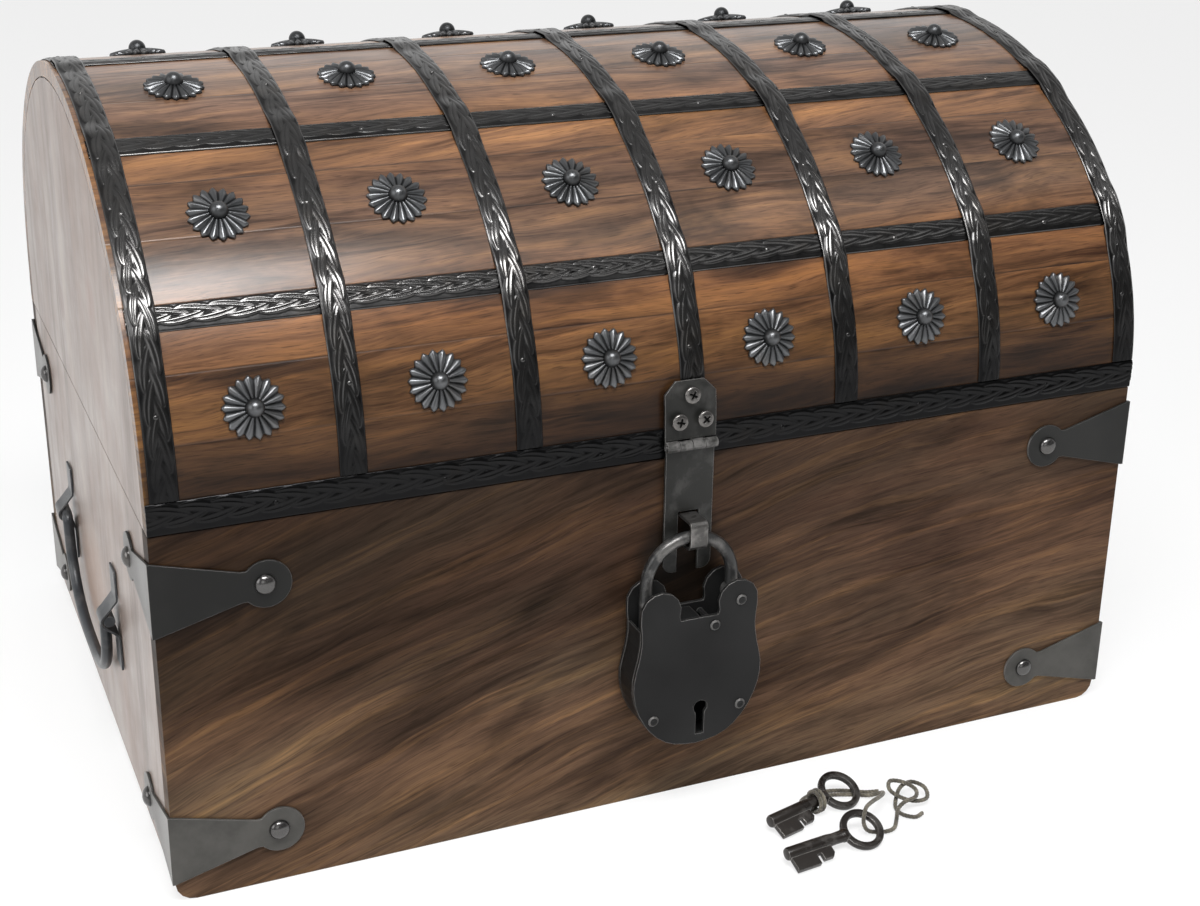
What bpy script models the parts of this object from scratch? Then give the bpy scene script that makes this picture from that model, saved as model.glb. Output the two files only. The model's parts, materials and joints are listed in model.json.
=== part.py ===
"""Treasure chest: a wooden box with a domed lid, iron bands, corner irons, drop handles,
a hasp with a hanging padlock, and two tied keys that lie in front of it.

The origin is under the middle of the box, on the surface that it stands on.
+X is right, -Y is the front and +Z is up. All sizes are in metres.
"""

import math

import bmesh
import bpy
import numpy as np
from mathutils import Matrix, Vector

# Box
WIDTH = 0.432
DEPTH = 0.305
BOX_HEIGHT = 0.155
BOARD = 0.010
BOTTOM_BOARD = 0.008
BOX_CORNER_RADIUS = 0.008
FIT_GAP = 0.0003
SEAM_GAP = 0.0005

# Lid: a straight foot, then an arc on each side, then a flatter arc over the crown
LID_FOOT = 0.0086
LID_SIDE_RADIUS = 0.1217
LID_SIDE_ANGLE = math.radians(46.4)
LID_SKIN = 0.0065
LID_END_BOARD = 0.009
SIDE_STEPS = 8
CROWN_STEPS = 14

# Bands
BAND_THICKNESS = 0.0012
FOOT_RAIL_WIDTH = 0.0130
RAIL_WIDTH = 0.0100
RAIL_SHIFT = 0.0009
RAIL_END_INSET = 0.0015
ARCH_COUNT = 7
ARCH_WIDTH = 0.0107
ARCH_INSET = 0.0018
ARCH_RAMP = 0.003

# Rosettes
ROSETTE_RADIUS = 0.0119
ROSETTE_BOSS_RADIUS = 0.0036
ROSETTE_RIM = 0.0008
ROSETTE_DISH = 0.0027
ROSETTE_BOSS_SHOULDER = 0.0058
ROSETTE_HEIGHT = 0.0066
ROSETTE_SINK = 0.0015
ROSETTE_SHIFT = 0.0007
ROSETTE_SIDES = 10

# Corner irons: half a leaf on each face of a corner
BRACKET_THICKNESS = 0.0009
BRACKET_HALF_HEIGHT = 0.015
BRACKET_NECK = 0.0062
BRACKET_NECK_REACH = 0.0325
BRACKET_EAR_REACH = 0.042
BRACKET_EAR_RADIUS = 0.0096
BRACKET_TOP_LEFT_DROP = 0.025
BRACKET_TOP_RIGHT_DROP = 0.0215
BRACKET_BOTTOM_Z = 0.0236
NAIL_RADIUS = 0.0043
NAIL_HEIGHT = 0.003

# Hasp on the front of the lid, and the staple in the box
HASP_X = -0.0015
HASP_PLATE_WIDTH = 0.0224
HASP_PLATE_TOP = 0.0320
HASP_CHAMFER = 0.0050
HASP_THICKNESS = 0.0012
HASP_KNUCKLES = 4
HASP_AXIS_RISE = 0.006
HASP_AXIS_OFFSET = 0.0039
HASP_STRAP_WIDTH = 0.0212
HASP_STRAP_LENGTH = 0.0554
HASP_STRAP_THICKNESS = 0.0013
HASP_STRAP_CORNER = 0.004
HASP_SLOT_CLEARANCE = 0.001
KNUCKLE_RADIUS = 0.0021
KNUCKLE_BORE = 0.0011
HINGE_PIN_RADIUS = 0.0008
LEAF_REACH = 0.0012
LEAF_NOTCH = 0.00035
SCREW_HEAD_RADIUS = 0.0035
SCREW_HEAD_HEIGHT = 0.0016
SCREW_RADIUS = 0.0012
SCREW_LENGTH = 0.0092
SCREW_SIDE_SPREAD = 0.0056
SCREW_TOP_STATION = 0.0262
SCREW_LOW_STATION = 0.0162

STAPLE_WIDTH = 0.0074
STAPLE_THICKNESS = 0.0013
STAPLE_FRONT = 0.01385
STAPLE_DROP = 0.0298
STAPLE_HEADROOM = 0.0037
STAPLE_DEPTH = 0.008
STAPLE_TOP_BEND = 0.0018
STAPLE_LOW_BEND = 0.0030

# Padlock: the shackle is a half circle on two straight legs, the case is two plates and a rim.
# The case's heights are given as drops below the shackle's pivot.
SHACKLE_SHIFT = -0.00195
SHACKLE_RADIUS = 0.01925
SHACKLE_ROD = 0.0026
SHACKLE_OFFSET = 0.0095
SHACKLE_FREE_LEG = 0.02185
SHACKLE_EYE_RADIUS = 0.004
SHACKLE_PIVOT_LEG = 0.00785
SHACKLE_STAPLE_CLEARANCE = 0.0013
CASE_SHIFT = 0.00075
CASE_BACK = 0.0037
CASE_DEPTH = 0.0153
CASE_PLATE = 0.0015
CASE_RIM = 0.0010
CASE_LOBE_X = 0.0173
CASE_LOBE_DROP = -0.0001
CASE_LOBE_RADIUS = 0.0089
CASE_NOTCH_DROP = 0.0049
CASE_SHAPE = (
    (0.0260, 0.0040),
    (0.0254, 0.0115),
    (0.0266, 0.0200),
    (0.0287, 0.0295),
    (0.0280, 0.0390),
    (0.0240, 0.0490),
    (0.0175, 0.0570),
    (0.0095, 0.0615),
    (0.0000, 0.0628),
)
RIVET_RADIUS = 0.0014
RIVET_HEAD_RADIUS = 0.0024
RIVET_HEAD_HEIGHT = 0.0009
CASE_RIVETS = ((0.0069, 0.0094), (0.0198, 0.0483), (-0.0198, 0.0483))
KEYHOLE_SHIFT = 0.0016
KEYHOLE_DROP = 0.0463
KEYHOLE_RADIUS = 0.0032
KEYHOLE_SLOT = 0.0038
KEYHOLE_SLOT_LENGTH = 0.0124
BOLT_SHIFT = 0.0017
BOLT_LENGTH = 0.0145
BOLT_HEIGHT = 0.0104
BOLT_DROP = 0.0061
TONGUE_LENGTH = 0.0041
TONGUE_HEIGHT = 0.0033
TONGUE_DEPTH = 0.004
TONGUE_DROP = 0.0083
BOLT_TRAVEL = 0.0022

# Drop handles on the two ends
HANDLE_DEPTH = 0.075
HANDLE_OFFSET = 0.0044
HANDLE_ROD = 0.00245
HANDLE_HALF_SPAN = 0.050
HANDLE_DROP = 0.0405
HANDLE_POWER = 2.59
HANDLE_BEND = 0.0040
HANDLE_TENON = 0.0640
HANDLE_PLATE_Y = 0.0590
HANDLE_PLATE_WIDTH = 0.011
HANDLE_PLATE_RISE = 0.022
HANDLE_PLATE_FALL = 0.023
HANDLE_PLATE_POINT = 0.004
HANDLE_KNUCKLE_WIDTH = 0.0070
HANDLE_BORE_CLEARANCE = 0.0004
HANDLE_KNUCKLE_WALL = 0.00115
HANDLE_STEPS = 14

# Back hinges
HINGE_X = 0.120
HINGE_AXIS_OFFSET = 0.0030
HINGE_AXIS_DROP = 0.0028
HINGE_PITCH = 0.0076
HINGE_KNUCKLES = 5
HINGE_LEAF_FALL = 0.029
HINGE_LEAF_RISE = 0.030

# Keys and twine. Their places are measured from the foot of the box's front.
KEY_SHANK_RADIUS = 0.0028
KEY_RING_RADIUS = 0.0079
KEY_WIRE_RADIUS = 0.0017
KEY_TILT = math.radians(25)
KEY_RING_STEPS = 16
KEY_BIT_THICKNESS = 0.0022
KEY_BIT = (
    (0.0200, 0),
    (0.0200, 0.0060),
    (0.0186, 0.0076),
    (0.0142, 0.0076),
    (0.0142, 0.0046),
    (0.0120, 0.0046),
    (0.0120, 0.0088),
    (0.0008, 0.0088),
    (0.0008, 0),
)
KEY_1_TIP = (0.0200, -0.0445, 0)
KEY_1_RING = (0.0586, -0.0345, 0)
KEY_2_TIP = (0.0150, -0.0675, 0)
KEY_2_RING = (0.0524, -0.0635, 0)
TWINE_RADIUS = 0.0009
WRAP_TURNS = 2

ROUND = 12
SMALL_ROUND = 10
SHARP_ANGLE = math.radians(35)

HALF_WIDTH = WIDTH / 2
HALF_DEPTH = DEPTH / 2
FRONT_FOOT = Vector((0, -HALF_DEPTH, 0))
SHOULDER_Z = BOX_HEIGHT + LID_FOOT
SIDE_CENTRE_Y = HALF_DEPTH - LID_SIDE_RADIUS
CROWN_RADIUS = SIDE_CENTRE_Y / math.cos(LID_SIDE_ANGLE) + LID_SIDE_RADIUS
CROWN_CENTRE_Z = SHOULDER_Z - SIDE_CENTRE_Y * math.tan(LID_SIDE_ANGLE)
SIDE_ARC = LID_SIDE_RADIUS * LID_SIDE_ANGLE
CROWN_ARC = CROWN_RADIUS * (math.pi - 2 * LID_SIDE_ANGLE)
LID_ARC = 2 * (LID_FOOT + SIDE_ARC) + CROWN_ARC
CREST = LID_ARC / 2
ARCH_PITCH = (WIDTH - ARCH_INSET - ARCH_WIDTH) / (ARCH_COUNT - 1)
ARCH_FIRST_X = ARCH_INSET + ARCH_WIDTH / 2 - HALF_WIDTH

HINGE_AXIS_Z = BOX_HEIGHT - HINGE_AXIS_DROP
HANDLE_Z = BOX_HEIGHT - HANDLE_DEPTH

# The staple hangs on the box, the shackle hangs on the staple, and the case on the shackle
HASP_AXIS_Z = BOX_HEIGHT + HASP_AXIS_RISE
STAPLE_TOP_Z = HASP_AXIS_Z - STAPLE_DROP
SHACKLE_X = HASP_X + SHACKLE_SHIFT
SHACKLE_TOP_Z = STAPLE_TOP_Z - STAPLE_THICKNESS - STAPLE_HEADROOM
SHACKLE_CENTRE_Z = SHACKLE_TOP_Z - SHACKLE_ROD - SHACKLE_RADIUS
SHACKLE_PIVOT_Z = SHACKLE_CENTRE_Z - SHACKLE_PIVOT_LEG
CASE_X = SHACKLE_X + CASE_SHIFT
BOLT_RIGHT = CASE_X + BOLT_SHIFT
TONGUE_Z = SHACKLE_PIVOT_Z - TONGUE_DROP

# Heights above the wood of the two layers of bands, and of what lies on both
LOW = (FIT_GAP, FIT_GAP + BAND_THICKNESS)
HIGH = (LOW[1] + FIT_GAP, LOW[1] + FIT_GAP + BAND_THICKNESS)

PIVOTS = {}


def clear_scene():
    for obj in list(bpy.data.objects):
        bpy.data.objects.remove(obj)


def add_pivot(name, place, parent=None):
    """An empty on a joint's axis, which carries the pieces that move about it."""
    PIVOTS[name] = Vector(place)
    empty = bpy.data.objects.new(name, None)
    empty.empty_display_size = 0.01
    bpy.context.scene.collection.objects.link(empty)
    empty.location = PIVOTS[name]
    if parent:
        empty.parent = bpy.data.objects[parent]
        empty.location = PIVOTS[name] - PIVOTS[parent]


def paint(name, colour, roughness, metallic=0.0):
    """The material of that name, made at its first use."""
    found = bpy.data.materials.get(name)
    if found:
        return found
    made = bpy.data.materials.new(name)
    made.use_nodes = True
    shader = made.node_tree.nodes["Principled BSDF"]
    shader.inputs["Base Color"].default_value = (*colour, 1)
    shader.inputs["Roughness"].default_value = roughness
    shader.inputs["Metallic"].default_value = metallic
    made.diffuse_color = (*colour, 1)
    return made


def box_wood():
    return paint("box_wood", (0.085, 0.045, 0.028), 0.38)


def side_wood():
    return paint("side_wood", (0.24, 0.15, 0.10), 0.42)


def lid_wood():
    return paint("lid_wood", (0.13, 0.062, 0.032), 0.30)


def band_iron():
    return paint("band_iron", (0.045, 0.043, 0.042), 0.42, 0.85)


def corner_iron():
    return paint("corner_iron", (0.022, 0.021, 0.021), 0.45, 0.8)


def hasp_iron():
    return paint("hasp_iron", (0.040, 0.042, 0.040), 0.48, 0.8)


def staple_iron():
    return paint("staple_iron", (0.16, 0.15, 0.145), 0.42, 0.9)


def padlock_iron():
    return paint("padlock_iron", (0.020, 0.020, 0.020), 0.45, 0.75)


def handle_iron():
    return paint("handle_iron", (0.018, 0.019, 0.021), 0.40, 0.75)


def key_iron():
    return paint("key_iron", (0.045, 0.030, 0.022), 0.42, 0.8)


def twine_fibre():
    return paint("twine_fibre", (0.22, 0.21, 0.17), 0.9)


def add(name, shape, material, pivot=None):
    """A new object from a bmesh in world coordinates, with its origin on its pivot."""
    if pivot:
        bmesh.ops.translate(shape, verts=shape.verts, vec=-PIVOTS[pivot])
    mesh = bpy.data.meshes.new(name)
    shape.to_mesh(mesh)
    shape.free()
    mesh.shade_smooth()
    mesh.set_sharp_from_angle(angle=SHARP_ANGLE)
    obj = bpy.data.objects.new(name, mesh)
    bpy.context.scene.collection.objects.link(obj)
    if material:
        mesh.materials.append(material)
    if pivot:
        obj.parent = bpy.data.objects[pivot]
    return obj


def combine(target, shape, operation):
    """Unites a shape with an object, or cuts it out, by a Boolean with a hidden tool."""
    tool = add(f"{target.name}_tool_{len(target.modifiers)}", shape, None)
    tool.hide_render = True
    tool.display_type = "WIRE"
    modifier = target.modifiers.new(operation.title(), "BOOLEAN")
    modifier.operation = operation
    modifier.solver = "EXACT"
    modifier.object = tool


def bridged(rings, closed=False):
    """A closed bmesh through rings of equal length, its ends filled or joined to each other."""
    shape = bmesh.new()
    loops = [[shape.verts.new(point) for point in ring] for ring in rings]
    pairs = list(zip(loops, loops[1:]))
    if closed:
        pairs.append((loops[-1], loops[0]))
    else:
        shape.faces.new(loops[0][::-1])
        shape.faces.new(loops[-1])
    for low, high in pairs:
        for i, corner in enumerate(low):
            j = (i + 1) % len(low)
            shape.faces.new((corner, low[j], high[j], high[i]))
    bmesh.ops.recalc_face_normals(shape, faces=shape.faces)
    return shape


def together(shapes):
    """Several shapes that don't touch, as one bmesh."""
    whole = bmesh.new()
    for shape in shapes:
        loose = bpy.data.meshes.new("loose")
        shape.to_mesh(loose)
        shape.free()
        whole.from_mesh(loose)
        bpy.data.meshes.remove(loose)
    return whole


def along_x(u, v, depth):
    return Vector((depth, u, v))


def along_y(u, v, depth):
    return Vector((u, depth, v))


def prism(outline, place, low, high):
    """An outline of (u, v) points drawn out from one depth to another."""
    return bridged([[place(u, v, depth) for u, v in outline] for depth in (low, high)])


def block(x, y, z):
    """A box between the two values given for each axis."""
    outline = [(x[0], z[0]), (x[1], z[0]), (x[1], z[1]), (x[0], z[1])]
    return prism(outline, along_y, *y)


def arc(centre_u, centre_v, radius, start, end, steps):
    """Points on an arc, its angles in degrees."""
    angles = (math.radians(start + (end - start) * i / steps) for i in range(steps + 1))
    return [
        (centre_u + radius * math.cos(angle), centre_v + radius * math.sin(angle))
        for angle in angles
    ]


def turned(profile, origin, axis, sides=ROUND):
    """A profile of (radius, height) points turned about an axis through the origin."""
    turn = Vector((0, 0, 1)).rotation_difference(axis).to_matrix()
    circle = [2 * math.pi * (i + 0.5) / sides for i in range(sides)]
    return bridged(
        [
            [
                origin
                + turn @ Vector((radius * math.cos(a), radius * math.sin(a), height))
                for a in circle
            ]
            for radius, height in profile
        ]
    )


def rod(points, radius, sides, across):
    """A round rod along points in a plane, which the direction across is square to."""
    rings = []
    for i, point in enumerate(points):
        ahead = points[min(i + 1, len(points) - 1)] - point
        behind = point - points[max(i - 1, 0)]
        into = behind.normalized()
        out = ahead.normalized()
        heading = (into + out).normalized()
        outward = heading.cross(across).normalized()
        mitre = radius
        if into.length and out.length:
            mitre = radius / max(heading.dot(out), 0.5)
        rings.append(
            [
                point
                + outward * mitre * math.cos(2 * math.pi * (k + 0.5) / sides)
                + across * radius * math.sin(2 * math.pi * (k + 0.5) / sides)
                for k in range(sides)
            ]
        )
    return bridged(rings)


def smooth_through(points, steps):
    """A Catmull-Rom curve through (u, v) or 3-D points, with that many steps between two."""
    padded = [2 * points[0] - points[1], *points, 2 * points[-1] - points[-2]]
    curve = []
    for before, start, end, after in zip(padded, padded[1:], padded[2:], padded[3:]):
        for i in range(steps):
            t = i / steps
            curve.append(
                0.5
                * (
                    2 * start
                    + (end - before) * t
                    + (2 * before - 5 * start + 4 * end - after) * t * t
                    + (3 * start - before - 3 * end + after) * t * t * t
                )
            )
    return [*curve, points[-1]]


def lid_frame(station):
    """The lid's outline at an arc length from its front foot: a point and its outward normal."""
    behind = station > CREST
    along = LID_ARC - station if behind else station
    if along <= LID_FOOT:
        y, z, turn = HALF_DEPTH, BOX_HEIGHT + along, 0.0
    elif along <= LID_FOOT + SIDE_ARC:
        turn = (along - LID_FOOT) / LID_SIDE_RADIUS
        y = SIDE_CENTRE_Y + LID_SIDE_RADIUS * math.cos(turn)
        z = SHOULDER_Z + LID_SIDE_RADIUS * math.sin(turn)
    else:
        turn = LID_SIDE_ANGLE + (along - LID_FOOT - SIDE_ARC) / CROWN_RADIUS
        y = CROWN_RADIUS * math.cos(turn)
        z = CROWN_CENTRE_Z + CROWN_RADIUS * math.sin(turn)
    side = 1 if behind else -1
    return Vector((0, side * y, z)), Vector((0, side * math.cos(turn), math.sin(turn)))


def lid_grid():
    """The arc lengths at which every curved piece of the lid has a facet's edge."""
    side = [LID_FOOT + SIDE_ARC * i / SIDE_STEPS for i in range(SIDE_STEPS + 1)]
    crown = [CREST + CROWN_ARC * (i / CROWN_STEPS - 0.5) for i in range(1, CROWN_STEPS)]
    return [*side, *crown, *(LID_ARC - station for station in reversed(side))]


def lid_stations(start, end, extra=()):
    """The stations of a curved piece: its ends, its own extra ones and the grid's between them."""
    fixed = sorted({start, end, *extra})
    near = SEAM_GAP
    grid = [s for s in lid_grid() if start < s < end and min(abs(s - f) for f in fixed) > near]
    return sorted([*fixed, *grid])


def lid_strip(stations, left, right, low, high):
    """A curved strip on the lid. Each of its sides and heights is a number or a function."""

    def at(value, station):
        return value(station) if callable(value) else value

    rings = []
    for station in stations:
        point, normal = lid_frame(station)
        edges = (at(left, station), at(right, station))
        under, over = (point + normal * at(level, station) for level in (low, high))
        rings.append(
            [
                Vector((edges[0], *under.yz)),
                Vector((edges[1], *under.yz)),
                Vector((edges[1], *over.yz)),
                Vector((edges[0], *over.yz)),
            ]
        )
    return bridged(rings)


def make_box():
    """Five boards. The front and back ones cover the ends of the other two."""
    r = BOX_CORNER_RADIUS
    face = [
        (-HALF_WIDTH, BOX_HEIGHT),
        *arc(r - HALF_WIDTH, r, r, 180, 270, 4),
        *arc(HALF_WIDTH - r, r, r, 270, 360, 4),
        (HALF_WIDTH, BOX_HEIGHT),
    ]
    inner = HALF_DEPTH - BOARD
    add("box_back", prism(face, along_y, inner, HALF_DEPTH), box_wood())
    front = add("box_front", prism(face, along_y, -HALF_DEPTH, -inner), box_wood())
    pocket = STAPLE_WIDTH / 2 + FIT_GAP
    for leg_z in staple_leg_heights():
        half = STAPLE_THICKNESS / 2 + FIT_GAP
        hole = block(
            (HASP_X - pocket, HASP_X + pocket),
            (-HALF_DEPTH - BOARD, STAPLE_DEPTH + FIT_GAP - HALF_DEPTH),
            (leg_z - half, leg_z + half),
        )
        combine(front, hole, "DIFFERENCE")
    for name, side in (("box_left", -1), ("box_right", 1)):
        profile = [
            (side * (HALF_WIDTH - BOARD), BOX_HEIGHT),
            (side * (HALF_WIDTH - BOARD), 0),
            *((side * u, v) for u, v in arc(HALF_WIDTH - r, r, r, 270, 360, 4)),
            (side * HALF_WIDTH, BOX_HEIGHT),
        ]
        add(name, prism(profile, along_y, FIT_GAP - inner, inner - FIT_GAP), side_wood())
    across = HALF_WIDTH - BOARD - FIT_GAP
    deep = inner - FIT_GAP
    add("box_bottom", block((-across, across), (-deep, deep), (0, BOTTOM_BOARD)), box_wood())


def make_lid():
    """The curved skin with its rosettes, and the two end boards inside it."""
    skin = add(
        "lid_shell",
        lid_strip(
            lid_stations(SEAM_GAP, LID_ARC - SEAM_GAP), -HALF_WIDTH, HALF_WIDTH, -LID_SKIN, 0
        ),
        lid_wood(),
        "lid_hinge",
    )
    combine(skin, together(rosettes()), "UNION")
    combine(skin, screw_holes(-LID_SKIN - BAND_THICKNESS), "DIFFERENCE")
    inside = LID_SKIN + FIT_GAP
    edge = []
    for station in lid_stations(SEAM_GAP, LID_ARC - SEAM_GAP):
        point, normal = lid_frame(station)
        edge.append(tuple((point - normal * inside).yz))
    for name, side in (("lid_left_end", -1), ("lid_right_end", 1)):
        depths = (side * HALF_WIDTH, side * (HALF_WIDTH - LID_END_BOARD))
        add(name, prism(edge, along_x, *depths), side_wood(), "lid_hinge")


def rosette_places():
    """Each rosette's x and station: a column between each two arch bands, a row between rails."""
    columns = [ARCH_FIRST_X + ARCH_PITCH * (i + 0.5) for i in range(ARCH_COUNT - 1)]
    edges = [FOOT_RAIL_WIDTH - RAIL_WIDTH / 2, *rail_centres()[:3]]
    front = [(low + high) / 2 + ROSETTE_SHIFT for low, high in zip(edges, edges[1:])]
    rows = [*front, *(LID_ARC - station for station in reversed(front))]
    return [(x, station) for station in rows for x in columns]


def rosettes():
    """A dished disc with a domed boss at each place."""
    profile = (
        (ROSETTE_RADIUS, -ROSETTE_SINK),
        (ROSETTE_RADIUS, ROSETTE_RIM),
        (ROSETTE_BOSS_RADIUS, ROSETTE_DISH),
        (ROSETTE_BOSS_RADIUS * 0.8, ROSETTE_BOSS_SHOULDER),
        (ROSETTE_BOSS_RADIUS * 0.3, ROSETTE_HEIGHT),
    )
    shapes = []
    for x, station in rosette_places():
        point, normal = lid_frame(station)
        point.x = x
        shapes.append(turned(profile, point, normal, ROSETTE_SIDES))
    return shapes


def rail_centres():
    """The stations of the five rails that the arch bands cross, about a third of the way apart."""
    front = [CREST / 3 + RAIL_SHIFT, CREST * 2 / 3 - RAIL_SHIFT]
    return [*front, CREST, *(LID_ARC - station for station in reversed(front))]


def make_rails():
    """Seven bands along the lid: one at each foot and five between them."""
    foot = SEAM_GAP, FOOT_RAIL_WIDTH
    half = RAIL_WIDTH / 2
    spans = [
        foot,
        *((centre - half, centre + half) for centre in rail_centres()),
        (LID_ARC - foot[1], LID_ARC - foot[0]),
    ]
    for number, span in enumerate(spans, 1):
        end = HALF_WIDTH if span in (spans[0], spans[-1]) else HALF_WIDTH - RAIL_END_INSET
        rail = add(
            f"rail_band_{number}",
            lid_strip(lid_stations(*span), -end, end, *LOW),
            band_iron(),
            "lid_hinge",
        )
        if number == 1:
            combine(rail, screw_holes(0), "DIFFERENCE")


def arch_lift():
    """Where an arch band climbs over the rails: stations and the height of its underside."""
    stations = [FOOT_RAIL_WIDTH + FIT_GAP]
    heights = [LOW[0]]
    for centre in rail_centres():
        clear = RAIL_WIDTH / 2 + FIT_GAP
        stations += [centre - clear - ARCH_RAMP, centre - clear]
        stations += [centre + clear, centre + clear + ARCH_RAMP]
        heights += [LOW[0], HIGH[0], HIGH[0], LOW[0]]
    return [*stations, LID_ARC - stations[0]], [*heights, LOW[0]]


def make_arches():
    """Seven bands over the lid, from the front foot rail to the back one."""
    lifts = arch_lift()

    def under(station):
        return float(np.interp(station, *lifts))

    def over(station):
        return under(station) + BAND_THICKNESS

    stations = lid_stations(lifts[0][0], lifts[0][-1], lifts[0])
    for number in range(ARCH_COUNT):
        x = ARCH_FIRST_X + ARCH_PITCH * number
        band = add(
            f"arch_band_{number + 1}",
            lid_strip(stations, x - ARCH_WIDTH / 2, x + ARCH_WIDTH / 2, under, over),
            band_iron(),
            "lid_hinge",
        )
        if abs(x - HASP_X) < HASP_PLATE_WIDTH / 2:
            combine(band, screw_holes(0), "DIFFERENCE")


def bracket_outline():
    """Half of a corner iron: from the corner it narrows to a neck, then a round ear."""
    corner = -FIT_GAP - BRACKET_THICKNESS
    tall, neck = BRACKET_HALF_HEIGHT, BRACKET_NECK
    turn = 180 - math.degrees(math.asin(neck / BRACKET_EAR_RADIUS))
    return [
        (corner, -tall),
        (0, -tall),
        (BRACKET_NECK_REACH, -neck),
        *arc(BRACKET_EAR_REACH, 0, BRACKET_EAR_RADIUS, -turn, turn, 8),
        (BRACKET_NECK_REACH, neck),
        (0, tall),
        (corner, tall),
    ]


def nail_dome(place, outward):
    """A round nail head that is joined to the iron under it."""
    profile = (
        (NAIL_RADIUS, -0.75 * BRACKET_THICKNESS),
        (NAIL_RADIUS, 0.1 * NAIL_HEIGHT),
        (NAIL_RADIUS * 0.75, 0.7 * NAIL_HEIGHT),
        (NAIL_RADIUS * 0.3, NAIL_HEIGHT),
    )
    return turned(profile, place, outward, SMALL_ROUND)


def make_brackets():
    """Eight corner irons, each folded round an upright edge of the box."""
    low, high = FIT_GAP, FIT_GAP + BRACKET_THICKNESS
    for end, across in (("front", -1), ("back", 1)):
        for hand, side in (("left", -1), ("right", 1)):
            drop = BRACKET_TOP_LEFT_DROP if side < 0 else BRACKET_TOP_RIGHT_DROP
            for level, z in (("top", BOX_HEIGHT - drop), ("bottom", BRACKET_BOTTOM_Z)):

                def on_face(u, v, depth):
                    return Vector((side * (HALF_WIDTH - u), across * (HALF_DEPTH + depth), z + v))

                def on_end(u, v, depth):
                    return Vector((side * (HALF_WIDTH + depth), across * (HALF_DEPTH - u), z + v))

                name = f"bracket_{end}_{hand}_{level}"
                iron = add(name, prism(bracket_outline(), on_face, low, high), corner_iron())
                combine(iron, prism(bracket_outline(), on_end, low, high), "UNION")
                nails = [
                    nail_dome(on_face(BRACKET_EAR_REACH, 0, high), Vector((0, across, 0))),
                    nail_dome(on_end(BRACKET_EAR_REACH, 0, high), Vector((side, 0, 0))),
                ]
                combine(iron, together(nails), "UNION")


def knuckle_span(start, pitch, index):
    return start + pitch * index + FIT_GAP / 2, start + pitch * (index + 1) - FIT_GAP / 2


def knuckles(centre, start, pitch, indices):
    """The rolled parts of a hinge leaf, on its axis along X."""
    shapes = []
    for index in indices:
        low, high = knuckle_span(start, pitch, index)
        profile = ((KNUCKLE_RADIUS, low), (KNUCKLE_RADIUS, high))
        shapes.append(turned(profile, Vector((0, *centre)), Vector((1, 0, 0))))
    return together(shapes)


def pin_bore(centre, start, length):
    ends = (start - KNUCKLE_RADIUS, start + length + KNUCKLE_RADIUS)
    profile = [(KNUCKLE_BORE, end) for end in ends]
    return turned(profile, Vector((0, *centre)), Vector((1, 0, 0)))


def hinge_pin(name, centre, start, length, pivot):
    profile = ((HINGE_PIN_RADIUS, start), (HINGE_PIN_RADIUS, start + length))
    pin = turned(profile, Vector((0, *centre)), Vector((1, 0, 0)), SMALL_ROUND)
    add(name, pin, hasp_iron(), pivot)


def leaf_edge(start, pitch, count, own, near, far):
    """A leaf's edge along its knuckles: near the axis at its own ones, notched at the others."""
    edge = []
    for index in range(count):
        span = knuckle_span(start, pitch, index)
        level = near if index in own else far
        edge += [(span[0], level), (span[1], level)]
    return edge


def screw_places():
    """The hasp plate's three screws, each as an x and a station."""
    return (
        ("top", HASP_X, SCREW_TOP_STATION),
        ("left", HASP_X - SCREW_SIDE_SPREAD, SCREW_LOW_STATION),
        ("right", HASP_X + SCREW_SIDE_SPREAD, SCREW_LOW_STATION),
    )


def screw_holes(bottom):
    """Clearance holes for the three screws, from a height below the wood's surface outwards."""
    shapes = []
    for _, x, station in screw_places():
        point, normal = lid_frame(station)
        point.x = x
        radius = SCREW_RADIUS + FIT_GAP
        profile = ((radius, bottom), (radius, HIGH[1] + HASP_THICKNESS))
        shapes.append(turned(profile, point, normal, SMALL_ROUND))
    return together(shapes)


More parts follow.
